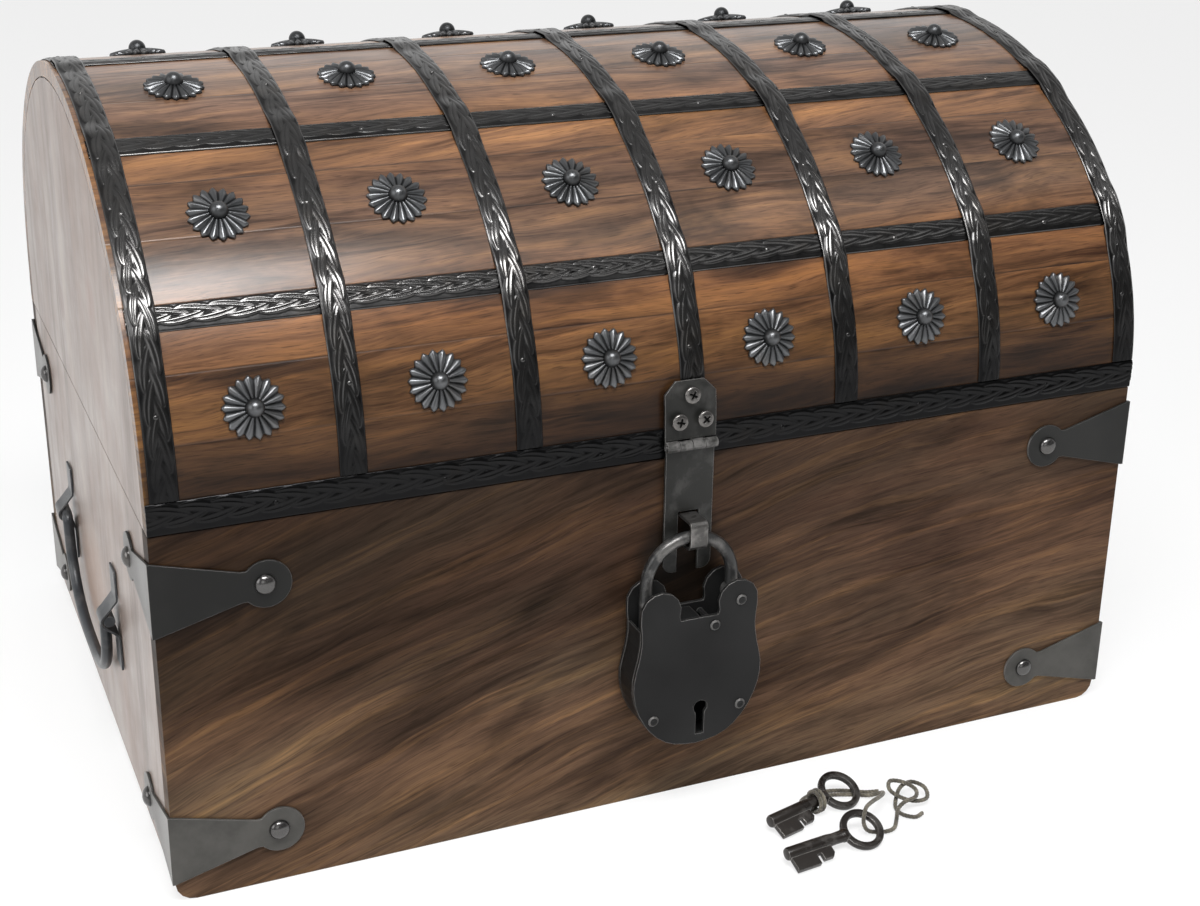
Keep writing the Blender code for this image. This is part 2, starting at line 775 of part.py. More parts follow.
def make_hasp():
    """The plate on the lid, the strap that hangs from it, their pin and the screws."""
    centre = (-HALF_DEPTH - HASP_AXIS_OFFSET, HASP_AXIS_Z)
    half = HASP_PLATE_WIDTH / 2
    start = HASP_X - half
    pitch = HASP_PLATE_WIDTH / HASP_KNUCKLES
    plate_own, strap_own = (0, 2), (1, 3)
    low = HIGH[0]
    high = low + HASP_THICKNESS
    clear = KNUCKLE_RADIUS + LEAF_NOTCH

    def reach(station):
        over = max(0.0, station - (HASP_PLATE_TOP - HASP_CHAMFER))
        return half - over

    foot = HASP_AXIS_Z + clear - BOX_HEIGHT
    stations = lid_stations(foot, HASP_PLATE_TOP, (HASP_PLATE_TOP - HASP_CHAMFER,))
    plate = add(
        "hasp_plate",
        lid_strip(
            stations, lambda s: HASP_X - reach(s), lambda s: HASP_X + reach(s), low, high
        ),
        hasp_iron(),
        "lid_hinge",
    )
    tabs = []
    for index in plate_own:
        tabs.append(
            block(
                knuckle_span(start, pitch, index),
                (-HALF_DEPTH - high, -HALF_DEPTH - low),
                (HASP_AXIS_Z + LEAF_REACH, HASP_AXIS_Z + clear + SEAM_GAP),
            )
        )
    combine(plate, together(tabs), "UNION")
    combine(plate, knuckles(centre, start, pitch, plate_own), "UNION")
    combine(plate, pin_bore(centre, start, HASP_PLATE_WIDTH), "DIFFERENCE")
    combine(plate, screw_holes(0), "DIFFERENCE")

    half_strap = HASP_STRAP_WIDTH / 2
    slot = STAPLE_WIDTH / 2 + HASP_SLOT_CLEARANCE
    corner = HASP_STRAP_CORNER
    edge = leaf_edge(
        start, pitch, HASP_KNUCKLES, strap_own, HASP_AXIS_Z - LEAF_REACH, HASP_AXIS_Z - clear
    )
    edge[0] = (HASP_X - half_strap, edge[0][1])
    edge[-1] = (HASP_X + half_strap, edge[-1][1])
    bottom = HASP_AXIS_Z - HASP_STRAP_LENGTH
    slot_top = STAPLE_TOP_Z + HASP_SLOT_CLEARANCE
    outline = [
        *edge,
        *arc(HASP_X + half_strap - corner, bottom + corner, corner, 0, -90, 4),
        (HASP_X + slot, bottom),
        (HASP_X + slot, slot_top),
        (HASP_X - slot, slot_top),
        (HASP_X - slot, bottom),
        *arc(HASP_X - half_strap + corner, bottom + corner, corner, -90, -180, 4),
    ]
    depths = (-HALF_DEPTH - low - HASP_STRAP_THICKNESS, -HALF_DEPTH - low)
    strap = add("hasp_strap", prism(outline, along_y, *depths), hasp_iron(), "hasp_hinge")
    combine(strap, knuckles(centre, start, pitch, strap_own), "UNION")
    combine(strap, pin_bore(centre, start, HASP_PLATE_WIDTH), "DIFFERENCE")
    hinge_pin("hasp_pin", centre, start, HASP_PLATE_WIDTH, "lid_hinge")

    seat = high + FIT_GAP
    profile = (
        (SCREW_RADIUS * 0.4, seat - SCREW_LENGTH),
        (SCREW_RADIUS, seat - SCREW_LENGTH + SCREW_RADIUS),
        (SCREW_RADIUS, seat),
        (SCREW_HEAD_RADIUS, seat),
        (SCREW_HEAD_RADIUS * 0.85, seat + 0.6 * SCREW_HEAD_HEIGHT),
        (SCREW_HEAD_RADIUS * 0.45, seat + SCREW_HEAD_HEIGHT),
    )
    for name, x, station in screw_places():
        point, normal = lid_frame(station)
        point.x = x
        screw = turned(profile, point, normal, SMALL_ROUND)
        add(f"hasp_screw_{name}", screw, hasp_iron(), "lid_hinge")


def staple_leg_heights():
    """The middle heights of the staple's lower and upper legs."""
    half = STAPLE_THICKNESS / 2
    rod_bottom = SHACKLE_CENTRE_Z + SHACKLE_RADIUS - SHACKLE_ROD
    return rod_bottom - SHACKLE_STAPLE_CLEARANCE - half, STAPLE_TOP_Z - half


def make_staple():
    """A flat bar bent round the shackle, with both legs in blind pockets in the front board."""
    low_z, high_z = staple_leg_heights()
    half = STAPLE_THICKNESS / 2
    front = -HALF_DEPTH - STAPLE_FRONT + half
    back = STAPLE_DEPTH - HALF_DEPTH
    top, under = STAPLE_TOP_BEND, STAPLE_LOW_BEND
    path = [
        (back, high_z),
        *arc(front + top, high_z - top, top, 90, 180, 3),
        *arc(front + under, low_z + under, under, 180, 270, 4),
        (back, low_z),
    ]
    x = (HASP_X - STAPLE_WIDTH / 2, HASP_X + STAPLE_WIDTH / 2)
    rings = []
    for i, (y, z) in enumerate(path):
        before = Vector(path[i]) - Vector(path[max(i - 1, 0)])
        after = Vector(path[min(i + 1, len(path) - 1)]) - Vector(path[i])
        heading = (before.normalized() + after.normalized()).normalized()
        lean = heading.dot(after.normalized()) if after.length else 1.0
        outward = Vector((heading.y, -heading.x)) * (half / lean)
        rings.append(
            [
                Vector((x[0], y - outward.x, z - outward.y)),
                Vector((x[1], y - outward.x, z - outward.y)),
                Vector((x[1], y + outward.x, z + outward.y)),
                Vector((x[0], y + outward.x, z + outward.y)),
            ]
        )
    add("hasp_staple", bridged(rings), staple_iron())


def make_shackle():
    """A half circle with a notched free leg on the left and an eye on the right leg."""
    y = -HALF_DEPTH - SHACKLE_OFFSET
    left, right = SHACKLE_X - SHACKLE_RADIUS, SHACKLE_X + SHACKLE_RADIUS
    points = [
        Vector((left, y, SHACKLE_CENTRE_Z - SHACKLE_FREE_LEG)),
        *(
            Vector((u, y, v))
            for u, v in arc(SHACKLE_X, SHACKLE_CENTRE_Z, SHACKLE_RADIUS, 180, 0, 14)
        ),
        Vector((right, y, SHACKLE_PIVOT_Z)),
    ]
    shape = rod(points, SHACKLE_ROD, SMALL_ROUND, Vector((0, 1, 0)))
    shackle = add("padlock_shackle", shape, padlock_iron(), "padlock_staple")
    pivot = Vector((right, y, SHACKLE_PIVOT_Z))
    axis = Vector((0, 1, 0))
    eye = ((SHACKLE_EYE_RADIUS, -SHACKLE_ROD), (SHACKLE_EYE_RADIUS, SHACKLE_ROD))
    combine(shackle, turned(eye, pivot, axis), "UNION")
    bore = RIVET_RADIUS + FIT_GAP
    hole = ((bore, -2 * SHACKLE_ROD), (bore, 2 * SHACKLE_ROD))
    combine(shackle, turned(hole, pivot, axis), "DIFFERENCE")
    inner = left + SHACKLE_ROD
    notch = block(
        (inner - BOLT_TRAVEL, inner + SHACKLE_ROD),
        (y - 2 * SHACKLE_ROD, y + 2 * SHACKLE_ROD),
        (TONGUE_Z - TONGUE_HEIGHT / 2 - FIT_GAP, TONGUE_Z + TONGUE_HEIGHT / 2 + FIT_GAP),
    )
    combine(shackle, notch, "DIFFERENCE")


def case_side():
    """The right side of the case from its lobe down to its middle, as (x, z) from its centre."""
    points = [Vector((x, SHACKLE_PIVOT_Z - drop)) for x, drop in CASE_SHAPE]
    return [tuple(point) for point in smooth_through(points, 2)]


def case_outline():
    """The whole outline of the case, clockwise from the left end of its notch."""
    lobe = arc(CASE_LOBE_X, SHACKLE_PIVOT_Z - CASE_LOBE_DROP, CASE_LOBE_RADIUS, 200, -10, 8)
    notch = (CASE_LOBE_X - CASE_LOBE_RADIUS, SHACKLE_PIVOT_Z - CASE_NOTCH_DROP)
    right = [notch, *lobe, *case_side()]
    left = [(-x, z) for x, z in reversed(right[:-1])]
    return [(CASE_X + x, z) for x, z in (*right, *left)]


def rim_outline():
    """A thin wall round the case, open at the top where the shackle goes in."""
    side = case_side()[1:]
    outer = [(-x, z) for x, z in side[:-1]] + side[::-1]
    inner = []
    for i, (x, z) in enumerate(outer):
        before = outer[max(i - 1, 0)]
        after = outer[min(i + 1, len(outer) - 1)]
        heading = (Vector(after) - Vector(before)).normalized()
        inner.append((x - heading.y * CASE_RIM, z + heading.x * CASE_RIM))
    return [(CASE_X + x, z) for x, z in (*outer, *reversed(inner))]


def make_case():
    """Two plates and a rim. Three rivets stand on the back plate and hold the front one."""
    back = -HALF_DEPTH - CASE_BACK
    front = back - CASE_DEPTH
    inner_back, inner_front = back - CASE_PLATE, front + CASE_PLATE
    outline = case_outline()
    axis = Vector((0, -1, 0))
    shank = RIVET_RADIUS
    head = RIVET_HEAD_RADIUS
    above = front - FIT_GAP

    def rivet(x, z, start):
        depth = start - above
        profile = (
            (shank, 0),
            (shank, depth),
            (head, depth),
            (head * 0.8, depth + 0.6 * RIVET_HEAD_HEIGHT),
            (head * 0.4, depth + RIVET_HEAD_HEIGHT),
        )
        return turned(profile, Vector((x, start, z)), axis, SMALL_ROUND)

    def plate_holes(places):
        bore = shank + FIT_GAP
        profile = ((bore, -CASE_DEPTH), (bore, 2 * CASE_DEPTH))
        return together(
            [turned(profile, Vector((x, back, z)), axis, SMALL_ROUND) for x, z in places]
        )

    pivot = (SHACKLE_X + SHACKLE_RADIUS, SHACKLE_PIVOT_Z)
    rivets = [(CASE_X + shift, SHACKLE_PIVOT_Z - drop) for shift, drop in CASE_RIVETS]
    plate = add(
        "padlock_back_plate",
        prism(outline, along_y, inner_back, back),
        padlock_iron(),
        "padlock_rivet",
    )
    combine(
        plate,
        together([rivet(x, z, back - CASE_PLATE / 2) for x, z in rivets]),
        "UNION",
    )
    combine(plate, plate_holes([pivot]), "DIFFERENCE")
    cover = add(
        "padlock_front_plate",
        prism(outline, along_y, front, inner_front),
        padlock_iron(),
        "padlock_rivet",
    )
    combine(cover, plate_holes([*rivets, pivot]), "DIFFERENCE")
    half = KEYHOLE_SLOT / 2
    turn = math.degrees(math.asin(half / KEYHOLE_RADIUS))
    x, z = CASE_X + KEYHOLE_SHIFT, SHACKLE_PIVOT_Z - KEYHOLE_DROP
    keyhole = [
        (x - half, z - KEYHOLE_SLOT_LENGTH),
        *arc(x, z, KEYHOLE_RADIUS, 270 - turn, turn - 90, 8),
        (x + half, z - KEYHOLE_SLOT_LENGTH),
    ]
    cut = prism(keyhole, along_y, front - CASE_PLATE, inner_front + CASE_PLATE)
    combine(cover, cut, "DIFFERENCE")
    rim = prism(rim_outline(), along_y, inner_front + FIT_GAP, inner_back - FIT_GAP)
    add("padlock_rim", rim, padlock_iron(), "padlock_rivet")
    add("padlock_pivot", rivet(*pivot, back), padlock_iron(), "padlock_rivet")

    body_left = BOLT_RIGHT - BOLT_LENGTH
    bolt_top = SHACKLE_PIVOT_Z - BOLT_DROP
    bolt = add(
        "padlock_bolt",
        block(
            (body_left, BOLT_RIGHT),
            (inner_front + FIT_GAP, inner_back - FIT_GAP),
            (bolt_top - BOLT_HEIGHT, bolt_top),
        ),
        padlock_iron(),
        "bolt_rest",
    )
    y = -HALF_DEPTH - SHACKLE_OFFSET
    tongue = block(
        (body_left - TONGUE_LENGTH, body_left + TONGUE_LENGTH),
        (y - TONGUE_DEPTH / 2, y + TONGUE_DEPTH / 2),
        (TONGUE_Z - TONGUE_HEIGHT / 2, TONGUE_Z + TONGUE_HEIGHT / 2),
    )
    combine(bolt, tongue, "UNION")


def bail_path():
    """One handle from pivot to pivot, as (y, z): bent in at both ends, then a flat-bottomed bow."""
    a, bend = HANDLE_HALF_SPAN, HANDLE_BEND
    drop = HANDLE_DROP - bend
    bow = []
    for i in range(HANDLE_STEPS + 1):
        angle = math.pi * i / HANDLE_STEPS
        u = math.copysign(abs(math.cos(angle)) ** (2 / HANDLE_POWER), math.cos(angle))
        bow.append((a * u, HANDLE_Z - bend - drop * math.sin(angle) ** (2 / HANDLE_POWER)))
    corner = arc(a + bend, HANDLE_Z - bend, bend, 90, 180, 3)[:-1]
    far_corner = [(-y, z) for y, z in reversed(corner)]
    return [(HANDLE_TENON, HANDLE_Z), *corner, *bow, *far_corner, (-HANDLE_TENON, HANDLE_Z)]


def make_handles():
    """On each end of the box: a bail, and two straps that fold round its pivots."""
    plate_low, plate_high = FIT_GAP, FIT_GAP + BRACKET_THICKNESS
    half, point = HANDLE_PLATE_WIDTH / 2, HANDLE_PLATE_POINT
    top, bottom = HANDLE_Z + HANDLE_PLATE_RISE, HANDLE_Z - HANDLE_PLATE_FALL
    bore = HANDLE_ROD + HANDLE_BORE_CLEARANCE
    rolled = bore + HANDLE_KNUCKLE_WALL
    for hand, side in (("left", -1), ("right", 1)):
        x = side * (HALF_WIDTH + HANDLE_OFFSET)
        points = [Vector((x, y, z)) for y, z in bail_path()]
        bail = rod(points, HANDLE_ROD, 8, Vector((1, 0, 0)))
        add(f"handle_{hand}_bail", bail, handle_iron(), f"handle_{hand}_pivot")
        for end, across in (("front", -1), ("back", 1)):
            y = across * HANDLE_PLATE_Y
            outline = [
                (y - half, bottom + point),
                (y - half + point, bottom),
                (y + half - point, bottom),
                (y + half, bottom + point),
                (y + half, top - point),
                (y + half - point, top),
                (y - half + point, top),
                (y - half, top - point),
            ]
            depths = [side * (HALF_WIDTH + depth) for depth in (plate_low, plate_high)]
            name = f"handle_{hand}_plate_{end}"
            plate = add(name, prism(outline, along_x, *depths), handle_iron())
            centre = Vector((x, y, HANDLE_Z))
            reach = HANDLE_KNUCKLE_WIDTH / 2
            axis = Vector((0, 1, 0))
            outer = ((rolled, -reach), (rolled, reach))
            combine(plate, turned(outer, centre, axis), "UNION")
            inner = ((bore, -2 * reach), (bore, 2 * reach))
            combine(plate, turned(inner, centre, axis), "DIFFERENCE")


def make_back_hinges():
    """Two hinges on the back: a flat leaf on the box, a curved one on the lid, and a pin."""
    centre = (HALF_DEPTH + HINGE_AXIS_OFFSET, HINGE_AXIS_Z)
    length = HINGE_PITCH * HINGE_KNUCKLES
    clear = KNUCKLE_RADIUS + LEAF_NOTCH
    box_own, lid_own = (0, 2, 4), (1, 3)
    lid_low, lid_high = HIGH
    for hand, side in (("left", -1), ("right", 1)):
        start = side * HINGE_X - length / 2
        end = start + length
        edge = leaf_edge(
            start,
            HINGE_PITCH,
            HINGE_KNUCKLES,
            box_own,
            HINGE_AXIS_Z - LEAF_REACH,
            HINGE_AXIS_Z - clear,
        )
        bottom = BOX_HEIGHT - HINGE_LEAF_FALL
        outline = [*edge, (edge[-1][0], bottom), (edge[0][0], bottom)]
        leaf = add(
            f"hinge_{hand}_box_leaf",
            prism(outline, along_y, HALF_DEPTH + LOW[0], HALF_DEPTH + LOW[1]),
            hasp_iron(),
        )
        combine(leaf, knuckles(centre, start, HINGE_PITCH, box_own), "UNION")
        combine(leaf, pin_bore(centre, start, length), "DIFFERENCE")

        foot = HINGE_AXIS_Z + clear - BOX_HEIGHT
        stations = lid_stations(LID_ARC - HINGE_LEAF_RISE, LID_ARC - foot)
        leaf = add(
            f"hinge_{hand}_lid_leaf",
            lid_strip(stations, start + FIT_GAP / 2, end - FIT_GAP / 2, lid_low, lid_high),
            hasp_iron(),
            "lid_hinge",
        )
        tabs = []
        for index in lid_own:
            tabs.append(
                block(
                    knuckle_span(start, HINGE_PITCH, index),
                    (HALF_DEPTH + lid_low, HALF_DEPTH + lid_high),
                    (HINGE_AXIS_Z + LEAF_REACH, HINGE_AXIS_Z + clear + SEAM_GAP),
                )
            )
        combine(leaf, together(tabs), "UNION")
        combine(leaf, knuckles(centre, start, HINGE_PITCH, lid_own), "UNION")
        combine(leaf, pin_bore(centre, start, length), "DIFFERENCE")
        hinge_pin(f"hinge_{hand}_pin", centre, start, length, None)


def key_frame(tip, ring):
    """A key's own axes: from its ring to its tip, to its bit, and up through the ring."""
    tip, ring = FRONT_FOOT + Vector(tip), FRONT_FOOT + Vector(ring)
    ahead = (tip - ring).normalized()
    sideways = Vector((-ahead.y, ahead.x, 0))
    to_bit = sideways * math.cos(KEY_TILT) + Vector((0, 0, -math.sin(KEY_TILT)))
    height = KEY_RING_RADIUS * math.sin(KEY_TILT) + KEY_WIRE_RADIUS
    frame = Matrix((ahead, to_bit, ahead.cross(to_bit))).transposed().to_4x4()
    return Matrix.Translation(ring + Vector((0, 0, height))) @ frame


def make_key(name, tip, ring):
    """A round shank with a two-toothed bit at its tip and a ring at its other end."""
    length = (Vector(tip) - Vector(ring)).length
    circle = []
    for i in range(KEY_RING_STEPS):
        turn = Matrix.Rotation(2 * math.pi * i / KEY_RING_STEPS, 3, "Z")
        section = arc(KEY_RING_RADIUS, 0, KEY_WIRE_RADIUS, 30, 330, 5)
        circle.append([turn @ Vector((u, 0, v)) for u, v in section])
    start = KEY_RING_RADIUS
    r = KEY_SHANK_RADIUS
    shank = turned(
        ((r * 0.8, start), (r, start + 0.1 * r), (r, length - 0.2 * r), (r * 0.8, length)),
        Vector(),
        Vector((1, 0, 0)),
        SMALL_ROUND,
    )
    half = KEY_BIT_THICKNESS / 2
    blade = bridged([[Vector((length - u, v, w)) for u, v in KEY_BIT] for w in (-half, half)])
    frame = key_frame(tip, ring)
    shapes = [bridged(circle, closed=True), shank, blade]
    for shape in shapes:
        bmesh.ops.transform(shape, matrix=frame, verts=shape.verts)
    key = add(name, shapes[0], key_iron(), "keys_rest")
    combine(key, shapes[1], "UNION")
    combine(key, shapes[2], "UNION")


def neck_wraps():
    """The twine's turns round the first key's shank, beside its ring."""
    frame = key_frame(KEY_1_TIP, KEY_1_RING)
    centre = frame.translation
    ahead = frame.col[0].xyz
    away = Vector((ahead.y, -ahead.x, 0))
    per_turn = 8
    radius = (KEY_SHANK_RADIUS + TWINE_RADIUS + FIT_GAP) / math.cos(math.pi / per_turn)
    first = KEY_RING_RADIUS + KEY_WIRE_RADIUS + 2 * TWINE_RADIUS
    points = []
    for i in range(per_turn * WRAP_TURNS):
        angle = 2 * math.pi * (i + 1.5) / per_turn
        along = first + (2 * TWINE_RADIUS + FIT_GAP) * i / per_turn
        across = away * math.sin(angle) - Vector((0, 0, math.cos(angle)))
        points.append(centre + ahead * along + across * radius)
    return points


def make_twine():
    """One length of twine: tail, two bow loops, through ring 2 and back, then to key 1's neck."""
    before = [
        (0.0860, -0.0573, 0.0010),
        (0.0815, -0.0587, 0.0010),
        (0.0775, -0.0550, 0.0011),
        (0.0775, -0.0500, 0.0012),
        (0.0800, -0.0460, 0.0030),
        (0.0845, -0.0420, 0.0050),
        (0.0905, -0.0407, 0.0055),
        (0.0945, -0.0450, 0.0045),
        (0.0925, -0.0505, 0.0030),
        (0.0865, -0.0510, 0.0030),
        (0.0810, -0.0485, 0.0045),
        (0.0775, -0.0445, 0.0068),
        (0.0800, -0.0405, 0.0082),
        (0.0850, -0.0427, 0.0078),
        (0.0885, -0.0470, 0.0062),
        (0.0860, -0.0515, 0.0056),
        (0.0800, -0.0525, 0.0050),
        (0.0760, -0.0540, 0.0034),
        (0.0725, -0.0585, 0.0020),
        (0.0690, -0.0625, 0.0012),
        (0.0650, -0.0635, 0.0011),
        (0.0605, -0.0623, 0.0011),
        (0.0568, -0.0613, 0.0022),
        (0.0552, -0.0605, 0.0055),
        (0.0554, -0.0600, 0.0094),
        (0.0580, -0.0575, 0.0110),
        (0.0630, -0.0540, 0.0103),
        (0.0680, -0.0505, 0.0088),
        (0.0725, -0.0465, 0.0068),
        (0.0755, -0.0420, 0.0045),
        (0.0720, -0.0380, 0.0016),
        (0.0665, -0.0345, 0.0011),
        (0.0605, -0.0320, 0.0011),
        (0.0550, -0.0307, 0.0012),
        (0.0500, -0.0311, 0.0018),
    ]
    after = [
        (0.0422, -0.0330, 0.0010),
        (0.0432, -0.0301, 0.0010),
        (0.0470, -0.0281, 0.0010),
        (0.0520, -0.0274, 0.0010),
        (0.0570, -0.0276, 0.0010),
        (0.0620, -0.0290, 0.0010),
        (0.0670, -0.0315, 0.0010),
        (0.0720, -0.0347, 0.0012),
        (0.0765, -0.0377, 0.0024),
    ]
    lead = [FRONT_FOOT + Vector(point) for point in before]
    tail = [FRONT_FOOT + Vector(point) for point in after]
    route = [*lead, *neck_wraps(), *tail]
    curve = bpy.data.curves.new("twine", "CURVE")
    curve.dimensions = "3D"
    curve.bevel_depth = TWINE_RADIUS
    curve.bevel_resolution = 2
    curve.use_fill_caps = True
    spline = curve.splines.new("POLY")
    spline.points.add(len(route) - 1)
    rest = PIVOTS["keys_rest"]
    for point, place in zip(spline.points, route):
        point.co = (*(place - rest), 1)
    curve.materials.append(twine_fibre())
    twine = bpy.data.objects.new("twine", curve)
    bpy.context.scene.collection.objects.link(twine)
    twine.parent = bpy.data.objects["keys_rest"]


def main():
    clear_scene()
    shackle_y = -HALF_DEPTH - SHACKLE_OFFSET
    rivet = (SHACKLE_X + SHACKLE_RADIUS, shackle_y, SHACKLE_PIVOT_Z)
    add_pivot("lid_hinge", (0, HALF_DEPTH + HINGE_AXIS_OFFSET, HINGE_AXIS_Z))
    hasp_axis = (HASP_X, -HALF_DEPTH - HASP_AXIS_OFFSET, HASP_AXIS_Z)
    add_pivot("hasp_hinge", hasp_axis, "lid_hinge")
    add_pivot("padlock_staple", (SHACKLE_X, shackle_y, SHACKLE_CENTRE_Z))
    add_pivot("padlock_rivet", rivet, "padlock_staple")
    add_pivot("bolt_rest", (BOLT_RIGHT, shackle_y, TONGUE_Z), "padlock_rivet")
    for hand, side in (("left", -1), ("right", 1)):
        axis_x = side * (HALF_WIDTH + HANDLE_OFFSET)
        add_pivot(f"handle_{hand}_pivot", (axis_x, 0, HANDLE_Z))
    add_pivot("keys_rest", FRONT_FOOT + (Vector(KEY_1_RING) + Vector(KEY_2_RING)) / 2)
    make_box()
    make_lid()
    make_rails()
    make_arches()
    make_brackets()
    make_back_hinges()
    make_hasp()
    make_staple()
    make_shackle()
    make_case()
    make_handles()
    make_key("key_1", KEY_1_TIP, KEY_1_RING)
    make_key("key_2", KEY_2_TIP, KEY_2_RING)
    make_twine()


main()
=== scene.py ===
"""Treasure chest, dressed: stained wood, embossed iron bands, cast rosettes, corner irons, drop
handles, a hasp with a hanging padlock, and two keys on a twist of twine.

Row frame in metres: the origin is under the middle of the box, +X right, -Y front, +Z up.
"""

import json
import math

import bmesh
import bpy
import numpy as np
from mathutils import Matrix, Vector

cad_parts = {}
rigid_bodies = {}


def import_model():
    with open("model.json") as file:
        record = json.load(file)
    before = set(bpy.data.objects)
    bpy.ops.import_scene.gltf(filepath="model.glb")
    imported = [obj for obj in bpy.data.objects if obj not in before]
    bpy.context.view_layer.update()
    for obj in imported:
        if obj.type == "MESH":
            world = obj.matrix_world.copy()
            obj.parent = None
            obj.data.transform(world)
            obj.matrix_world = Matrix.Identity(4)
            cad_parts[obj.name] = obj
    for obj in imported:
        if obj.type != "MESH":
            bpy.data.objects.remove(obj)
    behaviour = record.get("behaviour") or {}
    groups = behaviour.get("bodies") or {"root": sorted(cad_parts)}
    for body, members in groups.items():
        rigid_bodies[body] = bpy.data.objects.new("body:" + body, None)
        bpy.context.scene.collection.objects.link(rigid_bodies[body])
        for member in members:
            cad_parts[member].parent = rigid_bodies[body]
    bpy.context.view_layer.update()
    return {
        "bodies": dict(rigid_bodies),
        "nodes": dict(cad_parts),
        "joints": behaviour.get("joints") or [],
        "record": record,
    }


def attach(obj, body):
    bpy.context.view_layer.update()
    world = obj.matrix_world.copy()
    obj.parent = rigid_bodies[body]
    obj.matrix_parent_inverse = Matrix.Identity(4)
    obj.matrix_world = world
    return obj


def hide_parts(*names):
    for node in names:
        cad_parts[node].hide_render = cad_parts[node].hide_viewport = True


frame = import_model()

# ---------------------------------------------------------------- sizes, as the frame has them
WIDTH = 0.432
DEPTH = 0.305
BOX_HEIGHT = 0.155
HALF_WIDTH = WIDTH / 2
HALF_DEPTH = DEPTH / 2
FIT_GAP = 0.0003
SEAM_GAP = 0.0005

LID_FOOT = 0.0086
LID_SIDE_RADIUS = 0.1217
LID_SIDE_ANGLE = math.radians(46.4)
LID_SKIN = 0.0065
SHOULDER_Z = BOX_HEIGHT + LID_FOOT
SIDE_CENTRE_Y = HALF_DEPTH - LID_SIDE_RADIUS
CROWN_RADIUS = SIDE_CENTRE_Y / math.cos(LID_SIDE_ANGLE) + LID_SIDE_RADIUS
CROWN_CENTRE_Z = SHOULDER_Z - SIDE_CENTRE_Y * math.tan(LID_SIDE_ANGLE)
SIDE_ARC = LID_SIDE_RADIUS * LID_SIDE_ANGLE
CROWN_ARC = CROWN_RADIUS * (math.pi - 2 * LID_SIDE_ANGLE)
LID_ARC = 2 * (LID_FOOT + SIDE_ARC) + CROWN_ARC
CREST = LID_ARC / 2

BAND_THICKNESS = 0.0012
FOOT_RAIL_WIDTH = 0.0130
RAIL_WIDTH = 0.0100
RAIL_SHIFT = 0.0009
RAIL_END_INSET = 0.0015
ARCH_COUNT = 7
ARCH_WIDTH = 0.0107
ARCH_INSET = 0.0018
ARCH_PITCH = (WIDTH - ARCH_INSET - ARCH_WIDTH) / (ARCH_COUNT - 1)
ARCH_FIRST_X = ARCH_INSET + ARCH_WIDTH / 2 - HALF_WIDTH
ARCH_RAMP = 0.003  # how long an arch's climb over a rail is: underneath, and on top
ARCH_EASE = 0.012
# Underside and top over the wood: of a rail, and of an arch where it crosses one
LOW = (FIT_GAP, FIT_GAP + BAND_THICKNESS)
HIGH = (LOW[1] + FIT_GAP, LOW[1] + FIT_GAP + BAND_THICKNESS)
BAND_NAIL = (0.0010, 0.0006)  # a nail head's radius and height

ROSETTE_RADIUS = 0.0119
ROSETTE_BOSS = 0.0036
ROSETTE_HEIGHT = 0.0066
ROSETTE_SHIFT = 0.0007
PETALS = 18
# Small shifts of rosettes off their grid: row and column, then along X and up the lid
ROSETTE_SLIPS = {(1, 0): (0.0, -0.0010), (2, 1): (-0.0015, 0.0), (1, 4): (0.0016, 0.0004)}

STAVE = 0.0254
FIRST_SEAM = 0.0075

BRACKET_THICKNESS = 0.0009
BRACKET_HALF_HEIGHT = 0.015
BRACKET_NECK = 0.0062
BRACKET_NECK_REACH = 0.0325
BRACKET_EAR_REACH = 0.042
BRACKET_EAR_RADIUS = 0.0096
BRACKET_TOP_LEFT_Z = 0.130
BRACKET_TOP_RIGHT_Z = 0.1335
BRACKET_BOTTOM_Z = 0.0236
EAR_NAIL = (0.0042, 0.0031)

HASP_X = -0.0015
HASP_AXIS = (-0.1564, 0.1610)  # y and z of the pins of the hasp and of the back hinges
HINGE_AXIS = (0.1555, 0.1522)
SCREW_HEAD_RADIUS = 0.0035
SCREW_HEAD_HEIGHT = 0.0016
SCREW_PLACES = (("top", 0.0, 0.0262), ("left", -0.0056, 0.0162), ("right", 0.0056, 0.0162))
SCREW_TURNS = {"top": 0.5, "left": 0.25, "right": 0.9}

SHACKLE_X = -0.00345
SHACKLE_Y = -0.1620
SHACKLE_Z = 0.10435
SHACKLE_RADIUS = 0.01925
SHACKLE_ROD = 0.0026
SHACKLE_FREE_LEG = 0.02185
SHACKLE_PIVOT_Z = 0.0965
SHACKLE_EYE = 0.0040
PADLOCK_FACE_Y = -0.1716
PADLOCK_RIVETS = ((0.0042, 0.0871), (0.0171, 0.0482), (-0.0225, 0.0482), (0.0158, 0.0965))

HANDLE_Z = 0.080
HANDLE_OUT = 0.0044
HANDLE_ROD = 0.00245
HANDLE_HALF_SPAN = 0.050
HANDLE_DROP = 0.0405
HANDLE_POWER = 2.59
HANDLE_BEND = 0.0040
HANDLE_TENON = 0.0640
HANDLE_PLATE_Y = 0.0590
HANDLE_PLATE_WIDTH = 0.011

